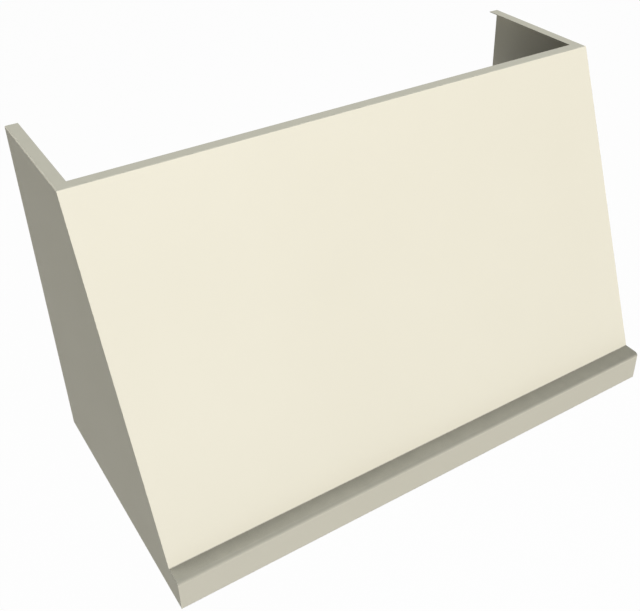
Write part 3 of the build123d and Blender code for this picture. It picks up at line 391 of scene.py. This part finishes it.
def brushed(name, along, dark, light, smooth=0.24, turn=0.0):
    """Sheet metal brushed along one axis, with faint smudges."""
    finish = Finish(name)
    scale = [STROKES_ACROSS] * 3
    scale["XYZ".index(along)] = STROKES_ALONG
    strokes = finish.noise(scale=1.0, vector=finish.stretched(scale, turn))
    smudges = finish.span(finish.noise(scale=9.0, detail=4.0), 0.0, 0.08)
    finish.set(
        Base_Color=finish.mottle(strokes, dark, light),
        Metallic=1.0,
        Roughness=finish.math("ADD", finish.span(strokes, smooth, smooth + ROUGHNESS_SPREAD), smudges),
        Normal=finish.bump(strokes, strength=0.06, depth=0.3 * MM),
    )
    return finish.material


def galvanised(name, dark, light, spangles):
    """Hot-dip zinc: angular spangles, so many to the metre, of different grey and gloss."""
    finish = Finish(name)
    wander = finish.add("ShaderNodeTexNoise", {"Vector": finish.place, "Scale": 70.0}).outputs["Color"]
    warped = finish.blend(factor=0.02, first=finish.place, second=wander)
    crystals = finish.add("ShaderNodeTexVoronoi", {"Vector": warped, "Scale": spangles})
    tone = finish.span(crystals.outputs["Color"], 0.0, 1.0, start=0.2, end=0.8)
    roughness = finish.span(tone, 0.74, 0.64, start=0.0, end=1.0)
    grain = finish.noise(scale=260.0)
    finish.set(
        Base_Color=finish.blend(tone, dark, light),
        Metallic=1.0,
        Roughness=finish.math("ADD", roughness, finish.span(grain, -0.04, 0.04)),
        Normal=finish.bump(grain, strength=0.08, depth=0.2 * MM),
    )
    return finish.material


def plated(name, dark, light, smooth):
    """Bright plating with a cloudy tint."""
    finish = Finish(name)
    clouds = finish.noise(scale=45.0, detail=4.0)
    finish.set(
        Base_Color=finish.mottle(clouds, dark, light),
        Metallic=1.0,
        Roughness=finish.span(clouds, smooth, smooth + ROUGHNESS_SPREAD),
        Normal=finish.bump(finish.noise(scale=600.0, detail=2.0), strength=0.05, depth=0.1 * MM),
    )
    return finish.material


def cast(name, dark, light):
    """Die-cast aluminium with a fine sandy skin."""
    finish = Finish(name)
    sand = finish.noise(scale=900.0)
    finish.set(
        Base_Color=finish.mottle(finish.noise(scale=40.0), dark, light),
        Metallic=1.0,
        Roughness=finish.span(sand, 0.40, 0.56),
        Normal=finish.bump(sand, strength=0.25, depth=0.2 * MM),
    )
    return finish.material


def moulded(name, dark, light, smooth, grain=900.0):
    """Moulded, sprayed or printed surface with a fine texture."""
    finish = Finish(name)
    texture = finish.noise(scale=grain, detail=2.0)
    finish.set(
        Base_Color=finish.mottle(finish.noise(scale=30.0), dark, light),
        Roughness=finish.span(texture, smooth, smooth + ROUGHNESS_SPREAD),
        Normal=finish.bump(texture, strength=0.15, depth=0.2 * MM),
    )
    return finish.material


def frosted_glass(name):
    """Lens glass with a light frosting."""
    finish = Finish(name)
    frost = finish.noise(scale=700.0)
    finish.set(
        Base_Color=finish.mottle(frost, *GLASS_TONES),
        Roughness=finish.span(frost, 0.16, 0.30),
        Transmission_Weight=0.9,
        IOR=1.49,
        Normal=finish.bump(frost, strength=0.10, depth=0.1 * MM),
    )
    return finish.material


FINISHES = {
    "cream_paint": powder_coat(),
    "galvanised_steel": galvanised("galvanised_sheet", grey(0.43, -0.02), grey(0.52, -0.02), 110.0),
    "fan_steel": galvanised("galvanised_fan", grey(0.41, -0.02), grey(0.50, -0.02), 190.0),
    "liner_steel": brushed("liner_brushed_across", "X", grey(0.53, 0.02), grey(0.66, 0.02)),
    "filter_steel": brushed("filter_brushed_across", "X", grey(0.52, 0.02), grey(0.64, 0.02)),
    "handle_steel": brushed("handle_satin", "X", grey(0.56, 0.01), grey(0.66, 0.01), smooth=0.2),
    "spring_steel": brushed("spring_strip", "X", grey(0.38), grey(0.48), smooth=0.28),
    "zinc_steel": plated("bright_zinc", grey(0.60, -0.03), grey(0.70, 0.02), smooth=0.2),
    "motor_paint": moulded("black_enamel", grey(0.035), grey(0.055), smooth=0.32, grain=350.0),
    "magnet_ferrite": moulded("ferrite", grey(0.05), grey(0.08), smooth=0.6),
    "seal_rubber": moulded("seal_rubber", grey(0.02), grey(0.035), smooth=0.7),
    "flap_aluminium": brushed("mill_aluminium", "X", grey(0.44, -0.01), grey(0.55, -0.01), smooth=0.58),
    "capacitor_can": brushed("drawn_can", "X", grey(0.62, -0.01), grey(0.74, -0.01), smooth=0.26),
    "control_plastic": moulded("control_plastic", grey(0.045), grey(0.07), smooth=0.5),
    "knob_plastic": moulded("knob_plastic", grey(0.025), grey(0.04), smooth=0.34),
    "lamp_aluminium": cast("die_cast_aluminium", grey(0.58), grey(0.70)),
    "bezel_chrome": plated("satin_chrome", grey(0.68), grey(0.76), smooth=0.16),
    "lens_glass": frosted_glass("frosted_lens"),
}

# Pieces whose brushing runs another way than across the hood
lengthwise = brushed("liner_brushed_lengthwise", "Y", grey(0.53, 0.02), grey(0.66, 0.02))
upright = brushed("liner_brushed_upright", "Z", grey(0.53, 0.02), grey(0.66, 0.02))
sloping = brushed("filter_brushed_uphill", "Y", grey(0.50, 0.02), grey(0.64, 0.02), turn=FILTER_SLOPE)
OTHER_WAY = {"left_liner_wall": lengthwise, "right_liner_wall": lengthwise, "rod_supports": upright}
OTHER_WAY.update({f"filter_baffles_{number}": sloping for number in FILTER_NUMBERS})

INK = moulded("printed_ink", grey(0.03), grey(0.05), smooth=0.5)
INLAY = moulded("white_inlay", grey(0.74, 0.01), grey(0.80, 0.01), smooth=0.4)
PHOSPHOR = moulded("lamp_phosphor", (0.80, 0.62, 0.16, 1), (0.86, 0.70, 0.24, 1), smooth=0.45)


def dress_solids():
    """Give every solid the finish of its material slot."""
    for entry in frame["record"]["subparts"]:
        solid = frame["nodes"][entry["node"]]
        finish = OTHER_WAY.get(entry["node"], FINISHES[entry["material_slot"]])
        solid.data.materials.clear()
        solid.data.materials.append(finish)


def at(x, y, z, facing=UP):
    """Place at a point, with its Z axis turned to face a way."""
    return Matrix.Translation((x, y, z)) @ facing


def even(low, high, count):
    """Evenly spaced places from low to high."""
    return [low + (high - low) * i / (count - 1) for i in range(count)]


def in_metres(profile):
    """Profile of (radius, height) pairs that are written in millimetres."""
    return [(radius * MM, height * MM) for radius, height in profile]


def circle(shape, radius, height, place, sides):
    """Points round the place's Z axis, or one point on it where the radius is nought."""
    steps = sides if radius else 1
    angles = [2 * math.pi * step / steps for step in range(steps)]
    points = [Vector((radius * math.cos(a), radius * math.sin(a), height)) for a in angles]
    return [shape.verts.new(place @ point) for point in points]


def skin(shape, lower, upper):
    """Faces between two loops of points, one of which may be a single point."""
    for i in range(max(len(lower), len(upper))):
        corners = [lower[i % len(lower)], lower[(i + 1) % len(lower)]]
        corners += [upper[(i + 1) % len(upper)], upper[i % len(upper)]]
        shape.faces.new(list(dict.fromkeys(corners)))


def turned(shape, profile, place, sides=24):
    """Turned form about the place's Z axis, from (radius, height) pairs that start and end on it."""
    circles = [circle(shape, radius, height, place, sides) for radius, height in profile]
    for lower, upper in zip(circles, circles[1:]):
        skin(shape, lower, upper)


def ring(shape, profile, place, sides=32):
    """Turned form with a hole, from a closed loop of (radius, height) pairs."""
    circles = [circle(shape, radius, height, place, sides) for radius, height in profile]
    for lower, upper in zip(circles, circles[1:] + circles[:1]):
        skin(shape, lower, upper)


def slab(shape, place, size):
    """Block with its middle at the place's origin."""
    scaled = place @ Matrix.Diagonal((*size, 1.0))
    bmesh.ops.create_cube(shape, size=1.0, matrix=scaled)


def bead(shape, place, length, width, rise):
    """Pressed stiffening bead: a low ridge with round ends, along the place's X axis."""
    half = (length - width) / 2
    loops = []
    for width_share, rise_share in BEAD_SECTION:
        radius = width_share * width
        points = []
        for centre, start in ((half, -math.pi / 2), (-half, math.pi / 2)):
            for angle in even(start, start + math.pi, BEAD_STEPS + 1):
                x = centre + radius * math.cos(angle)
                points.append(Vector((x, radius * math.sin(angle), rise_share * rise)))
        loops.append([shape.verts.new(place @ point) for point in points])
    for lower, upper in zip(loops, loops[1:]):
        skin(shape, lower, upper)
    shape.faces.new(list(reversed(loops[0])))
    shape.faces.new(loops[-1])


def piece(shape, name, body, slot, material=None):
    """New object on a body from a finished shape, in its slot's finish unless another is given."""
    bmesh.ops.recalc_face_normals(shape, faces=shape.faces)
    mesh = bpy.data.meshes.new(name)
    shape.to_mesh(mesh)
    shape.free()
    mesh.materials.append(material or FINISHES[slot])
    made = bpy.data.objects.new(name, mesh)
    bpy.context.scene.collection.objects.link(made)
    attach(made, body)
    return made


def repeated(name, body, form, places, slot="zinc_steel"):
    """One piece that has the same small form at many places."""
    shape = bmesh.new()
    for place in places:
        form(shape, place)
    piece(shape, name, body, slot)


def button_screw(shape, place):
    """Button head with a round socket."""
    head = [(0, 0), (4.2, 0), (4.2, 0.5), (3.8, 1.3), (2.9, 1.9), (1.9, 2.2), (1.9, 1.0), (0, 1.0)]
    turned(shape, in_metres(head), place)


def washer_screw(shape, place):
    """Hexagon head on its own washer."""
    washer = [(0, 0), (5.0, 0), (5.0, 0.5), (4.4, 1.0), (0, 1.0)]
    turned(shape, in_metres(washer), place)
    hexagon = [(0, 0.9), (3.6, 0.9), (3.6, 3.2), (3.1, 3.7), (0, 3.7)]
    turned(shape, in_metres(hexagon), place, sides=6)


def rivet(shape, place):
    """Domed blind rivet with the hollow of its pulled pin."""
    dome = [(0, 0), (3.2, 0), (3.0, 0.5), (2.2, 1.0), (1.0, 1.2), (0.9, 0.7), (0, 0.7)]
    turned(shape, in_metres(dome), place)


def weld_spot(shape, place):
    """Shallow round dent of a spot weld, with its raised rim."""
    dent = [(0, 0), (3.4, 0), (3.1, 0.2), (2.6, 0.25), (2.2, 0.08), (0, 0.08)]
    turned(shape, in_metres(dent), place)


def handle_pad(shape, place):
    """Tapered pad round the foot of a handle."""
    pad = [(3.6, 0), (6.6, 0), (6.6, 0.9), (5.6, 1.6), (3.6, 2.6)]
    ring(shape, in_metres(pad), place)


def knockout(shape, place):
    """Raised ring of a stamped knockout."""
    rim = [(9.6, 0), (11.4, 0), (11.1, 0.4), (9.9, 0.4)]
    ring(shape, in_metres(rim), place)


def fasten_canopy():
    """Screws up through the middle of the canopy's bottom flange."""
    low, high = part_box("front_panel")
    inset = BOTTOM_FLANGE / 2
    spots = [(x, low.y + inset) for x in even(-FRONT_SCREW_REACH, FRONT_SCREW_REACH, FRONT_SCREWS)]
    for x in (low.x + inset, high.x - inset):
        spots += [(x, y) for y in even(SIDE_SCREW_FRONT, SIDE_SCREW_BACK, SIDE_SCREWS)]
    repeated("flange_screws", "hood", button_screw, [at(x, y, low.z, DOWN) for x, y in spots])


def weld_rails():
    """Spot welds in the end tabs of the rear rails."""
    welds = []
    for name in ("upper_rear_rail", "lower_rear_rail"):
        low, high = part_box(name)
        for z in even(low.z + RAIL_WELD_END, high.z - RAIL_WELD_END, RAIL_WELDS):
            for row in RAIL_WELD_ROWS:
                welds.append(at(low.x + RAIL_SHEET, low.y + row, z, TO_RIGHT))
                welds.append(at(high.x - RAIL_SHEET, low.y + row, z, TO_LEFT))
    repeated("rail_welds", "hood", weld_spot, welds, "galvanised_steel")


def weld_front():
    """Spot welds behind the slanted front, through it and the flanges of the sides."""
    low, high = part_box("front_panel")
    rise = high.z - LIP_HEIGHT
    run = -TOP_DEPTH - low.y - LEDGE_DEPTH
    inward = Vector((0, rise, -run)) / math.hypot(rise, run)
    facing = inward.to_track_quat("Z", "X").to_matrix().to_4x4()
    welds = []
    for share in even(SLANT_END_SHARE, 1 - SLANT_END_SHARE, SLANT_WELDS):
        on_face = Vector((0, low.y + LEDGE_DEPTH + share * run, LIP_HEIGHT + share * rise))
        y, z = (on_face + inward * 2 * SHELL_SHEET).yz
        for x in (low.x + SLANT_WELD_INSET, high.x - SLANT_WELD_INSET):
            welds.append(at(x, y, z, facing))
    repeated("front_seam_welds", "hood", weld_spot, welds, "cream_paint")


def weld_back_wall():
    """Spot welds up both ends of the plenum's back wall and along the gutter."""
    low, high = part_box("plenum_back_wall")
    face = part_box("plenum_deck")[1].y
    gutter_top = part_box("grease_gutter")[1].z
    welds = []
    for z in even(low.z + WALL_WELD_FOOT, high.z - WALL_WELD_HEAD, WALL_WELDS):
        for x in (low.x + WALL_WELD_INSET, high.x - WALL_WELD_INSET):
            welds.append(at(x, face, z, TO_BACK))
    for x in even(low.x + GUTTER_WELD_END, high.x - GUTTER_WELD_END, GUTTER_WELDS):
        welds.append(at(x, face, gutter_top - WALL_WELD_INSET, TO_BACK))
    repeated("back_wall_welds", "hood", weld_spot, welds, "liner_steel")


def fasten_strip():
    """Two screws at each end of the lamp strip, either side of the knobs' line."""
    low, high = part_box("control_panel")
    knob_low, knob_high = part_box("speed_knob")
    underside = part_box("lamp_bezels")[1].z
    line = (knob_low.y + knob_high.y) / 2
    screws = []
    for x in (low.x + STRIP_SCREW_END, high.x - STRIP_SCREW_END):
        for y in (line - STRIP_SCREW_OFFSET, line + STRIP_SCREW_OFFSET):
            screws.append(at(x, y, underside, DOWN))
    repeated("panel_screws", "hood", button_screw, screws)


def filter_place(number):
    """Frame of one filter: origin on the rod, X across, Y down the slope and Z square to the panel."""
    rod_low, rod_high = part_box("filter_rod")
    low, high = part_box(f"filter_frame_{number}")
    rod_y = (rod_low.y + rod_high.y) / 2
    rod_z = (rod_low.z + rod_high.z) / 2
    middle_x = (low.x + high.x) / 2
    across = high.x - low.x
    tilt = FILTER_HALF_HEIGHT * math.sin(FILTER_SLOPE)
    reach = (rod_y - low.y - tilt) / math.cos(FILTER_SLOPE)
    place = at(middle_x, rod_y, rod_z, Matrix.Rotation(-FILTER_SLOPE, 4, "X"))
    return place, across, reach


def fasten_filters():
    """Corner rivets on the filters' frames, and pads round the feet of their handles."""
    for number in FILTER_NUMBERS:
        body = f"filter_{number}"
        place, across, reach = filter_place(number)
        under = place @ Matrix.Translation((0, 0, -FILTER_HALF_HEIGHT)) @ DOWN
        low_end = ROD_TO_FILTER + FILTER_RIM / 2
        high_end = reach - FILTER_RIM / 2
        edge = across / 2 - FILTER_RIM / 2
        rivets = []
        for y in (low_end, high_end):
            for side in (-1, 1):
                for x in (edge, edge - RIVET_PITCH):
                    rivets.append(under @ Matrix.Translation((side * x, y, 0)))
        repeated(f"filter_rivets_{number}", body, rivet, rivets)

        low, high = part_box(f"filter_handle_{number}")
        leg = (high.x - low.x) / 2 - HANDLE_RADIUS
        feet = [under @ Matrix.Translation((x, high_end, 0)) for x in (-leg, leg)]
        repeated(f"handle_pads_{number}", body, handle_pad, feet, "handle_steel")


def mark_dials():
    """White index line on each knob, and the printed scale round it on the strip."""
    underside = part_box("lamp_bezels")[1].z
    for name in ("speed", "light"):
        low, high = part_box(f"{name}_knob")
        middle = (low + high) / 2
        radius = (high.x - low.x) / 2

        line = bmesh.new()
        spin = at(middle.x, middle.y, low.z, Matrix.Rotation(DIAL_START, 4, "Z"))
        outward = Matrix.Translation((INDEX_MIDDLE * radius, 0, 0))
        slab(line, spin @ outward, (INDEX_LENGTH * radius, INDEX_WIDTH, INLAY_THICKNESS))
        piece(line, f"{name}_index_line", f"{name}_dial", "knob_plastic", INLAY)

        scale = bmesh.new()
        for i, angle in enumerate(even(DIAL_START, DIAL_START + DIAL_SWEEP, TICKS)):
            length = TICK_LENGTH + TICK_GROWTH * i
            spin = at(middle.x, middle.y, underside, Matrix.Rotation(angle, 4, "Z"))
            outward = Matrix.Translation((radius + TICK_GAP + length / 2, 0, 0))
            slab(scale, spin @ outward, (length, TICK_WIDTH, INK_THICKNESS))
        piece(scale, f"{name}_scale", "hood", "liner_steel", INK)


def lens_profile(radius):
    """Lens with a flat face, and rings of prisms on its back."""
    profile = [(0, 0), (radius, 0), (radius, LENS_HEIGHT)]
    for i in range(PRISMS):
        groove = radius * (PRISMS - i) / (PRISMS + 1)
        profile += [(groove + PRISM_RUN, LENS_HEIGHT), (groove, PRISM_FLOOR)]
    return profile + [(0, LENS_HEIGHT)]


def reflector_profile(radius):
    """Closed loop of a shallow reflector with a throat for the light source."""
    rim = radius - REFLECTOR_GAP
    face = [(rim, REFLECTOR_FACE), (rim, REFLECTOR_RIM)]
    throat = (REFLECTOR_THROAT_SHARE * radius, REFLECTOR_THROAT)
    return face + [(REFLECTOR_BACK_SHARE * radius, LAMP_BACK), throat]


def source_profile(radius):
    """Light source: a low disc, a little wider at its back."""
    face = [(0, SOURCE_FACE), (SOURCE_FACE_SHARE * radius, SOURCE_FACE)]
    return face + [(SOURCE_BACK_SHARE * radius, LAMP_BACK), (0, LAMP_BACK)]


def glaze_lamps():
    """Ribbed lenses with a reflector and a light source behind each."""
    low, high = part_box("lamp_lenses")
    radius = (high.y - low.y) / 2
    lenses = bmesh.new()
    reflectors = bmesh.new()
    sources = bmesh.new()
    for x in even(low.x + radius, high.x - radius, LAMPS):
        centre = at(x, low.y + radius, low.z)
        turned(lenses, lens_profile(radius), centre, LAMP_SIDES)
        ring(reflectors, reflector_profile(radius), centre, LAMP_SIDES)
        turned(sources, source_profile(radius), centre)
    glass = piece(lenses, "lamp_lens_ribs", "hood", "lens_glass")
    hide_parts("lamp_lenses")
    piece(reflectors, "lamp_reflectors", "hood", "bezel_chrome")
    piece(sources, "lamp_sources", "hood", "lens_glass", PHOSPHOR)


def fasten_transition():
    """Screws down through the transition's flange, round both outlets."""
    low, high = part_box("duct_transition")
    spots = []
    for y in (OUTLET_FRONT - FLANGE_FROM_OUTLET, OUTLET_BACK + FLANGE_FROM_OUTLET):
        row = even(low.x + FLANGE_ROW_END, high.x - FLANGE_ROW_END, FLANGE_ROW_SCREWS)
        spots += [(x, y) for x in row]
    for x in (low.x + FLANGE_MIDDLE, high.x - FLANGE_MIDDLE):
        row = even(OUTLET_FRONT + FLANGE_MIDDLE, OUTLET_BACK - FLANGE_MIDDLE, FLANGE_END_SCREWS)
        spots += [(x, y) for y in row]
    flange_top = low.z + DUCT_SHEET
    repeated("transition_screws", "hood", washer_screw, [at(x, y, flange_top) for x, y in spots])


def collar_circle():
    """Middle and outer radius of the duct collar, from the damper seat inside it."""
    low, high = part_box("damper_seat")
    return (low + high) / 2, (high.x - low.x) / 2 + SEAT_PLAY + DUCT_SHEET


def seam_collar():
    """Lap seam down the back of the collar, with its spot welds."""
    low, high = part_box("duct_collar")
    middle, radius = collar_circle()
    back = middle.y + radius
    seam = bmesh.new()
    slab(seam, at(middle.x, back, (low.z + high.z) / 2), (SEAM_WIDTH, SEAM_SHEET, high.z - low.z))
    for z in even(low.z + SEAM_WELD_END, high.z - SEAM_WELD_END, SEAM_WELDS):
        weld_spot(seam, at(middle.x, back + SEAM_SHEET / 2, z, TO_BACK))
    piece(seam, "collar_seam", "hood", "galvanised_steel")


def bead_flaps():
    """Two pressed beads on each damper flap, the outer one shorter."""
    middle, radius = collar_circle()
    for name, side in (("front", -1), ("rear", 1)):
        flap_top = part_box(f"{name}_damper_flap")[0].z + FLAP_SHEET
        beads = bmesh.new()
        for place_share, length_share in FLAP_BEADS:
            place = at(middle.x, middle.y + side * place_share * radius, flap_top)
            bead(beads, place, length_share * radius, BEAD_WIDTH, BEAD_RISE)
        piece(beads, f"{name}_flap_beads", f"{name}_damper", "flap_aluminium")


def about_fan(x, radius, count, facing):
    """Places spread round the fan axis, on a face that looks along X."""
    low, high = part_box("motor_shaft")
    middle = (low + high) / 2
    angles = [2 * math.pi * (i + 0.5) / count for i in range(count)]
    points = [(middle.y + radius * math.cos(a), middle.z + radius * math.sin(a)) for a in angles]
    return [at(x, y, z, facing) for y, z in points]


def fasten_motor():
    """Bolts at both ends of the motor, round its bosses."""
    low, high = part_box("motor_body")
    bolts = about_fan(low.x + MOTOR_BOSS, MOTOR_BOLT_RADIUS, MOTOR_BOLTS, TO_LEFT)
    bolts += about_fan(high.x - MOTOR_BOSS, MOTOR_BOLT_RADIUS, MOTOR_BOLTS, TO_RIGHT)
    repeated("motor_bolts", "hood", washer_screw, bolts)


def fasten_housings():
    """Rivets of the inlet rings, and screws up through the flanges of the housings' outlets."""
    rivets = []
    screws = []
    for name in ("left", "right"):
        low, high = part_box(f"{name}_scroll_housing")
        left_face = low.x + SCROLL_FLANGE - SCROLL_SHEET
        right_face = high.x - SCROLL_FLANGE + SCROLL_SHEET
        rivets += about_fan(left_face, RING_FLAT_RADIUS, RING_RIVETS, TO_LEFT)
        rivets += about_fan(right_face, RING_FLAT_RADIUS, RING_RIVETS, TO_RIGHT)
        for x in (low.x + SCROLL_FLANGE / 2, high.x - SCROLL_FLANGE / 2):
            for y in even(OUTLET_FRONT + SCROLL_FLANGE, OUTLET_BACK - SCROLL_FLANGE, OUTLET_SCREWS):
                screws.append(at(x, y, high.z - SCROLL_SHEET, DOWN))
    repeated("ring_rivets", "hood", rivet, rivets)
    repeated("housing_screws", "hood", washer_screw, screws)


def fasten_hangers():
    """Bolts up through the flanges of the motor's hangers."""
    low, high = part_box("motor_hangers")
    bolts = []
    for x in (low.x + HANGER_FLANGE / 2, high.x - HANGER_FLANGE / 2):
        for y in even(low.y + HANGER_BOLT_END, high.y - HANGER_BOLT_END, HANGER_BOLTS):
            bolts.append(at(x, y, high.z - HANGER_SHEET, DOWN))
    repeated("hanger_bolts", "hood", washer_screw, bolts)


def cap_capacitor():
    """Insulating disc under the capacitor's terminals, and the crimp round its can."""
    low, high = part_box("run_capacitor")
    middle = (low + high) / 2
    radius = (high.y - low.y) / 2
    face = low.x + TERMINAL_LENGTH

    disc = bmesh.new()
    disc_profile = in_metres([(0, 0), (14.5, 0), (14.5, 0.8), (13.5, 1.2), (0, 1.2)])
    turned(disc, disc_profile, at(face, middle.y, middle.z, TO_LEFT))
    piece(disc, "capacitor_disc", "hood", "control_plastic")

    crimp = bmesh.new()
    section = in_metres([(-0.2, 0), (0.5, 0.5), (0.5, 2.2), (-0.2, 2.7)])
    crimp_profile = [(radius + proud, height) for proud, height in section]
    ring(crimp, crimp_profile, at(face + CRIMP_SETBACK, middle.y, middle.z, TO_RIGHT), CAN_SIDES)
    piece(crimp, "capacitor_crimp", "hood", "capacitor_can")


def trim_box():
    """Cover screws and stamped knockouts of the junction box."""
    low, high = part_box("junction_box")
    cover_low, cover_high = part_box("junction_box_cover")
    middle = (low + high) / 2
    lip_z = cover_low.z + COVER_LIP / 2
    screws = [at(cover_low.x, middle.y, lip_z, TO_LEFT), at(cover_high.x, middle.y, lip_z, TO_RIGHT)]
    repeated("box_cover_screws", "hood", button_screw, screws)

    z = low.z + KNOCKOUT_HEIGHT
    knockouts = [at(x, low.y, z, TO_FRONT) for x in (low.x + KNOCKOUT_INSET, high.x - KNOCKOUT_INSET)]
    knockouts.append(at(low.x, middle.y, z, TO_LEFT))
    repeated("box_knockouts", "hood", knockout, knockouts, "galvanised_steel")


def backdrop_share(nodes):
    """1 for rays that should see the plain white surroundings, 0 for rays that light the hood."""
    rays = nodes.add("ShaderNodeLightPath").outputs
    seen = nodes.math("MAXIMUM", rays["Is Camera Ray"], rays["Is Glossy Ray"])
    return nodes.math("MAXIMUM", seen, rays["Is Transmission Ray"])


def make_floor():
    """Pale floor that still takes the hood's shadow."""
    bpy.ops.mesh.primitive_plane_add(size=FLOOR_SIZE, location=(0, 0, FLOOR_Z))
    floor = bpy.context.object
    floor.name = "studio_floor"
    material = bpy.data.materials.new("pale_floor")
    material.use_nodes = True
    nodes = Nodes(material.node_tree)
    matt = nodes.tree.nodes["Principled BSDF"]
    nodes.feed(matt.inputs["Base Color"], FLOOR_COLOUR)
    nodes.feed(matt.inputs["Roughness"], FLOOR_ROUGHNESS)
    glow = nodes.add("ShaderNodeEmission", {"Color": WHITE})
    share = nodes.math("MULTIPLY", backdrop_share(nodes), FLOOR_GLOW)
    mix = nodes.add("ShaderNodeMixShader", {"Fac": share, 1: matt.outputs[0], 2: glow.outputs[0]})
    nodes.feed(nodes.tree.nodes["Material Output"].inputs["Surface"], mix.outputs[0])
    floor.data.materials.append(material)


def make_world():
    """White surroundings to look at, and a dim even light from them on the hood."""
    world = bpy.data.worlds.new("studio")
    bpy.context.scene.world = world
    world.use_nodes = True
    nodes = Nodes(world.node_tree)
    ambient = nodes.tree.nodes["Background"]
    nodes.feed(ambient.inputs["Color"], AMBIENT_COLOUR)
    nodes.feed(ambient.inputs["Strength"], AMBIENT_STRENGTH)
    white = nodes.add("ShaderNodeBackground", {"Color": WHITE, "Strength": 1.0})
    share = backdrop_share(nodes)
    mix = nodes.add("ShaderNodeMixShader", {"Fac": share, 1: ambient.outputs[0], 2: white.outputs[0]})
    nodes.feed(nodes.tree.nodes["World Output"].inputs["Surface"], mix.outputs[0])


def softbox(name, place, target, size, power):
    """Square area lamp aimed at a point."""
    lamp = bpy.data.lights.new(name, "AREA")
    lamp.shape = "SQUARE"
    lamp.size = size
    lamp.energy = power
    light = bpy.data.objects.new(name, lamp)
    bpy.context.scene.collection.objects.link(light)
    light.location = place
    light.rotation_euler = (Vector(target) - Vector(place)).to_track_quat("-Z", "Y").to_euler()


def make_lights():
    """One large key from the front and above, and a fill from each side, weaker on the left."""
    softbox("key", KEY_PLACE, KEY_TARGET, KEY_SIZE, KEY_POWER)
    softbox("left_fill", LEFT_FILL_PLACE, LEFT_FILL_TARGET, FILL_SIZE, LEFT_FILL_POWER)
    softbox("right_fill", RIGHT_FILL_PLACE, RIGHT_FILL_TARGET, FILL_SIZE, RIGHT_FILL_POWER)


def make_camera():
    """Camera at the photograph's place and angle."""
    data = bpy.data.cameras.new("photo_camera")
    data.lens = CAMERA_LENS
    data.shift_x, data.shift_y = CAMERA_SHIFT
    camera = bpy.data.objects.new("photo_camera", data)
    bpy.context.scene.collection.objects.link(camera)
    camera.location = CAMERA_PLACE
    facing = CAMERA_FORWARD.to_track_quat("-Z", "Y").to_matrix()
    camera.rotation_euler = (facing @ Matrix.Rotation(CAMERA_ROLL, 3, "Z")).to_euler()
    bpy.context.scene.camera = camera


dress_solids()
fasten_canopy()
weld_rails()
weld_front()
weld_back_wall()
fasten_strip()
fasten_filters()
mark_dials()
glaze_lamps()
fasten_transition()
seam_collar()
bead_flaps()
fasten_motor()
fasten_housings()
fasten_hangers()
cap_capacitor()
trim_box()
make_floor()
make_world()
make_lights()
make_camera()
bpy.context.scene.view_settings.view_transform = "Standard"
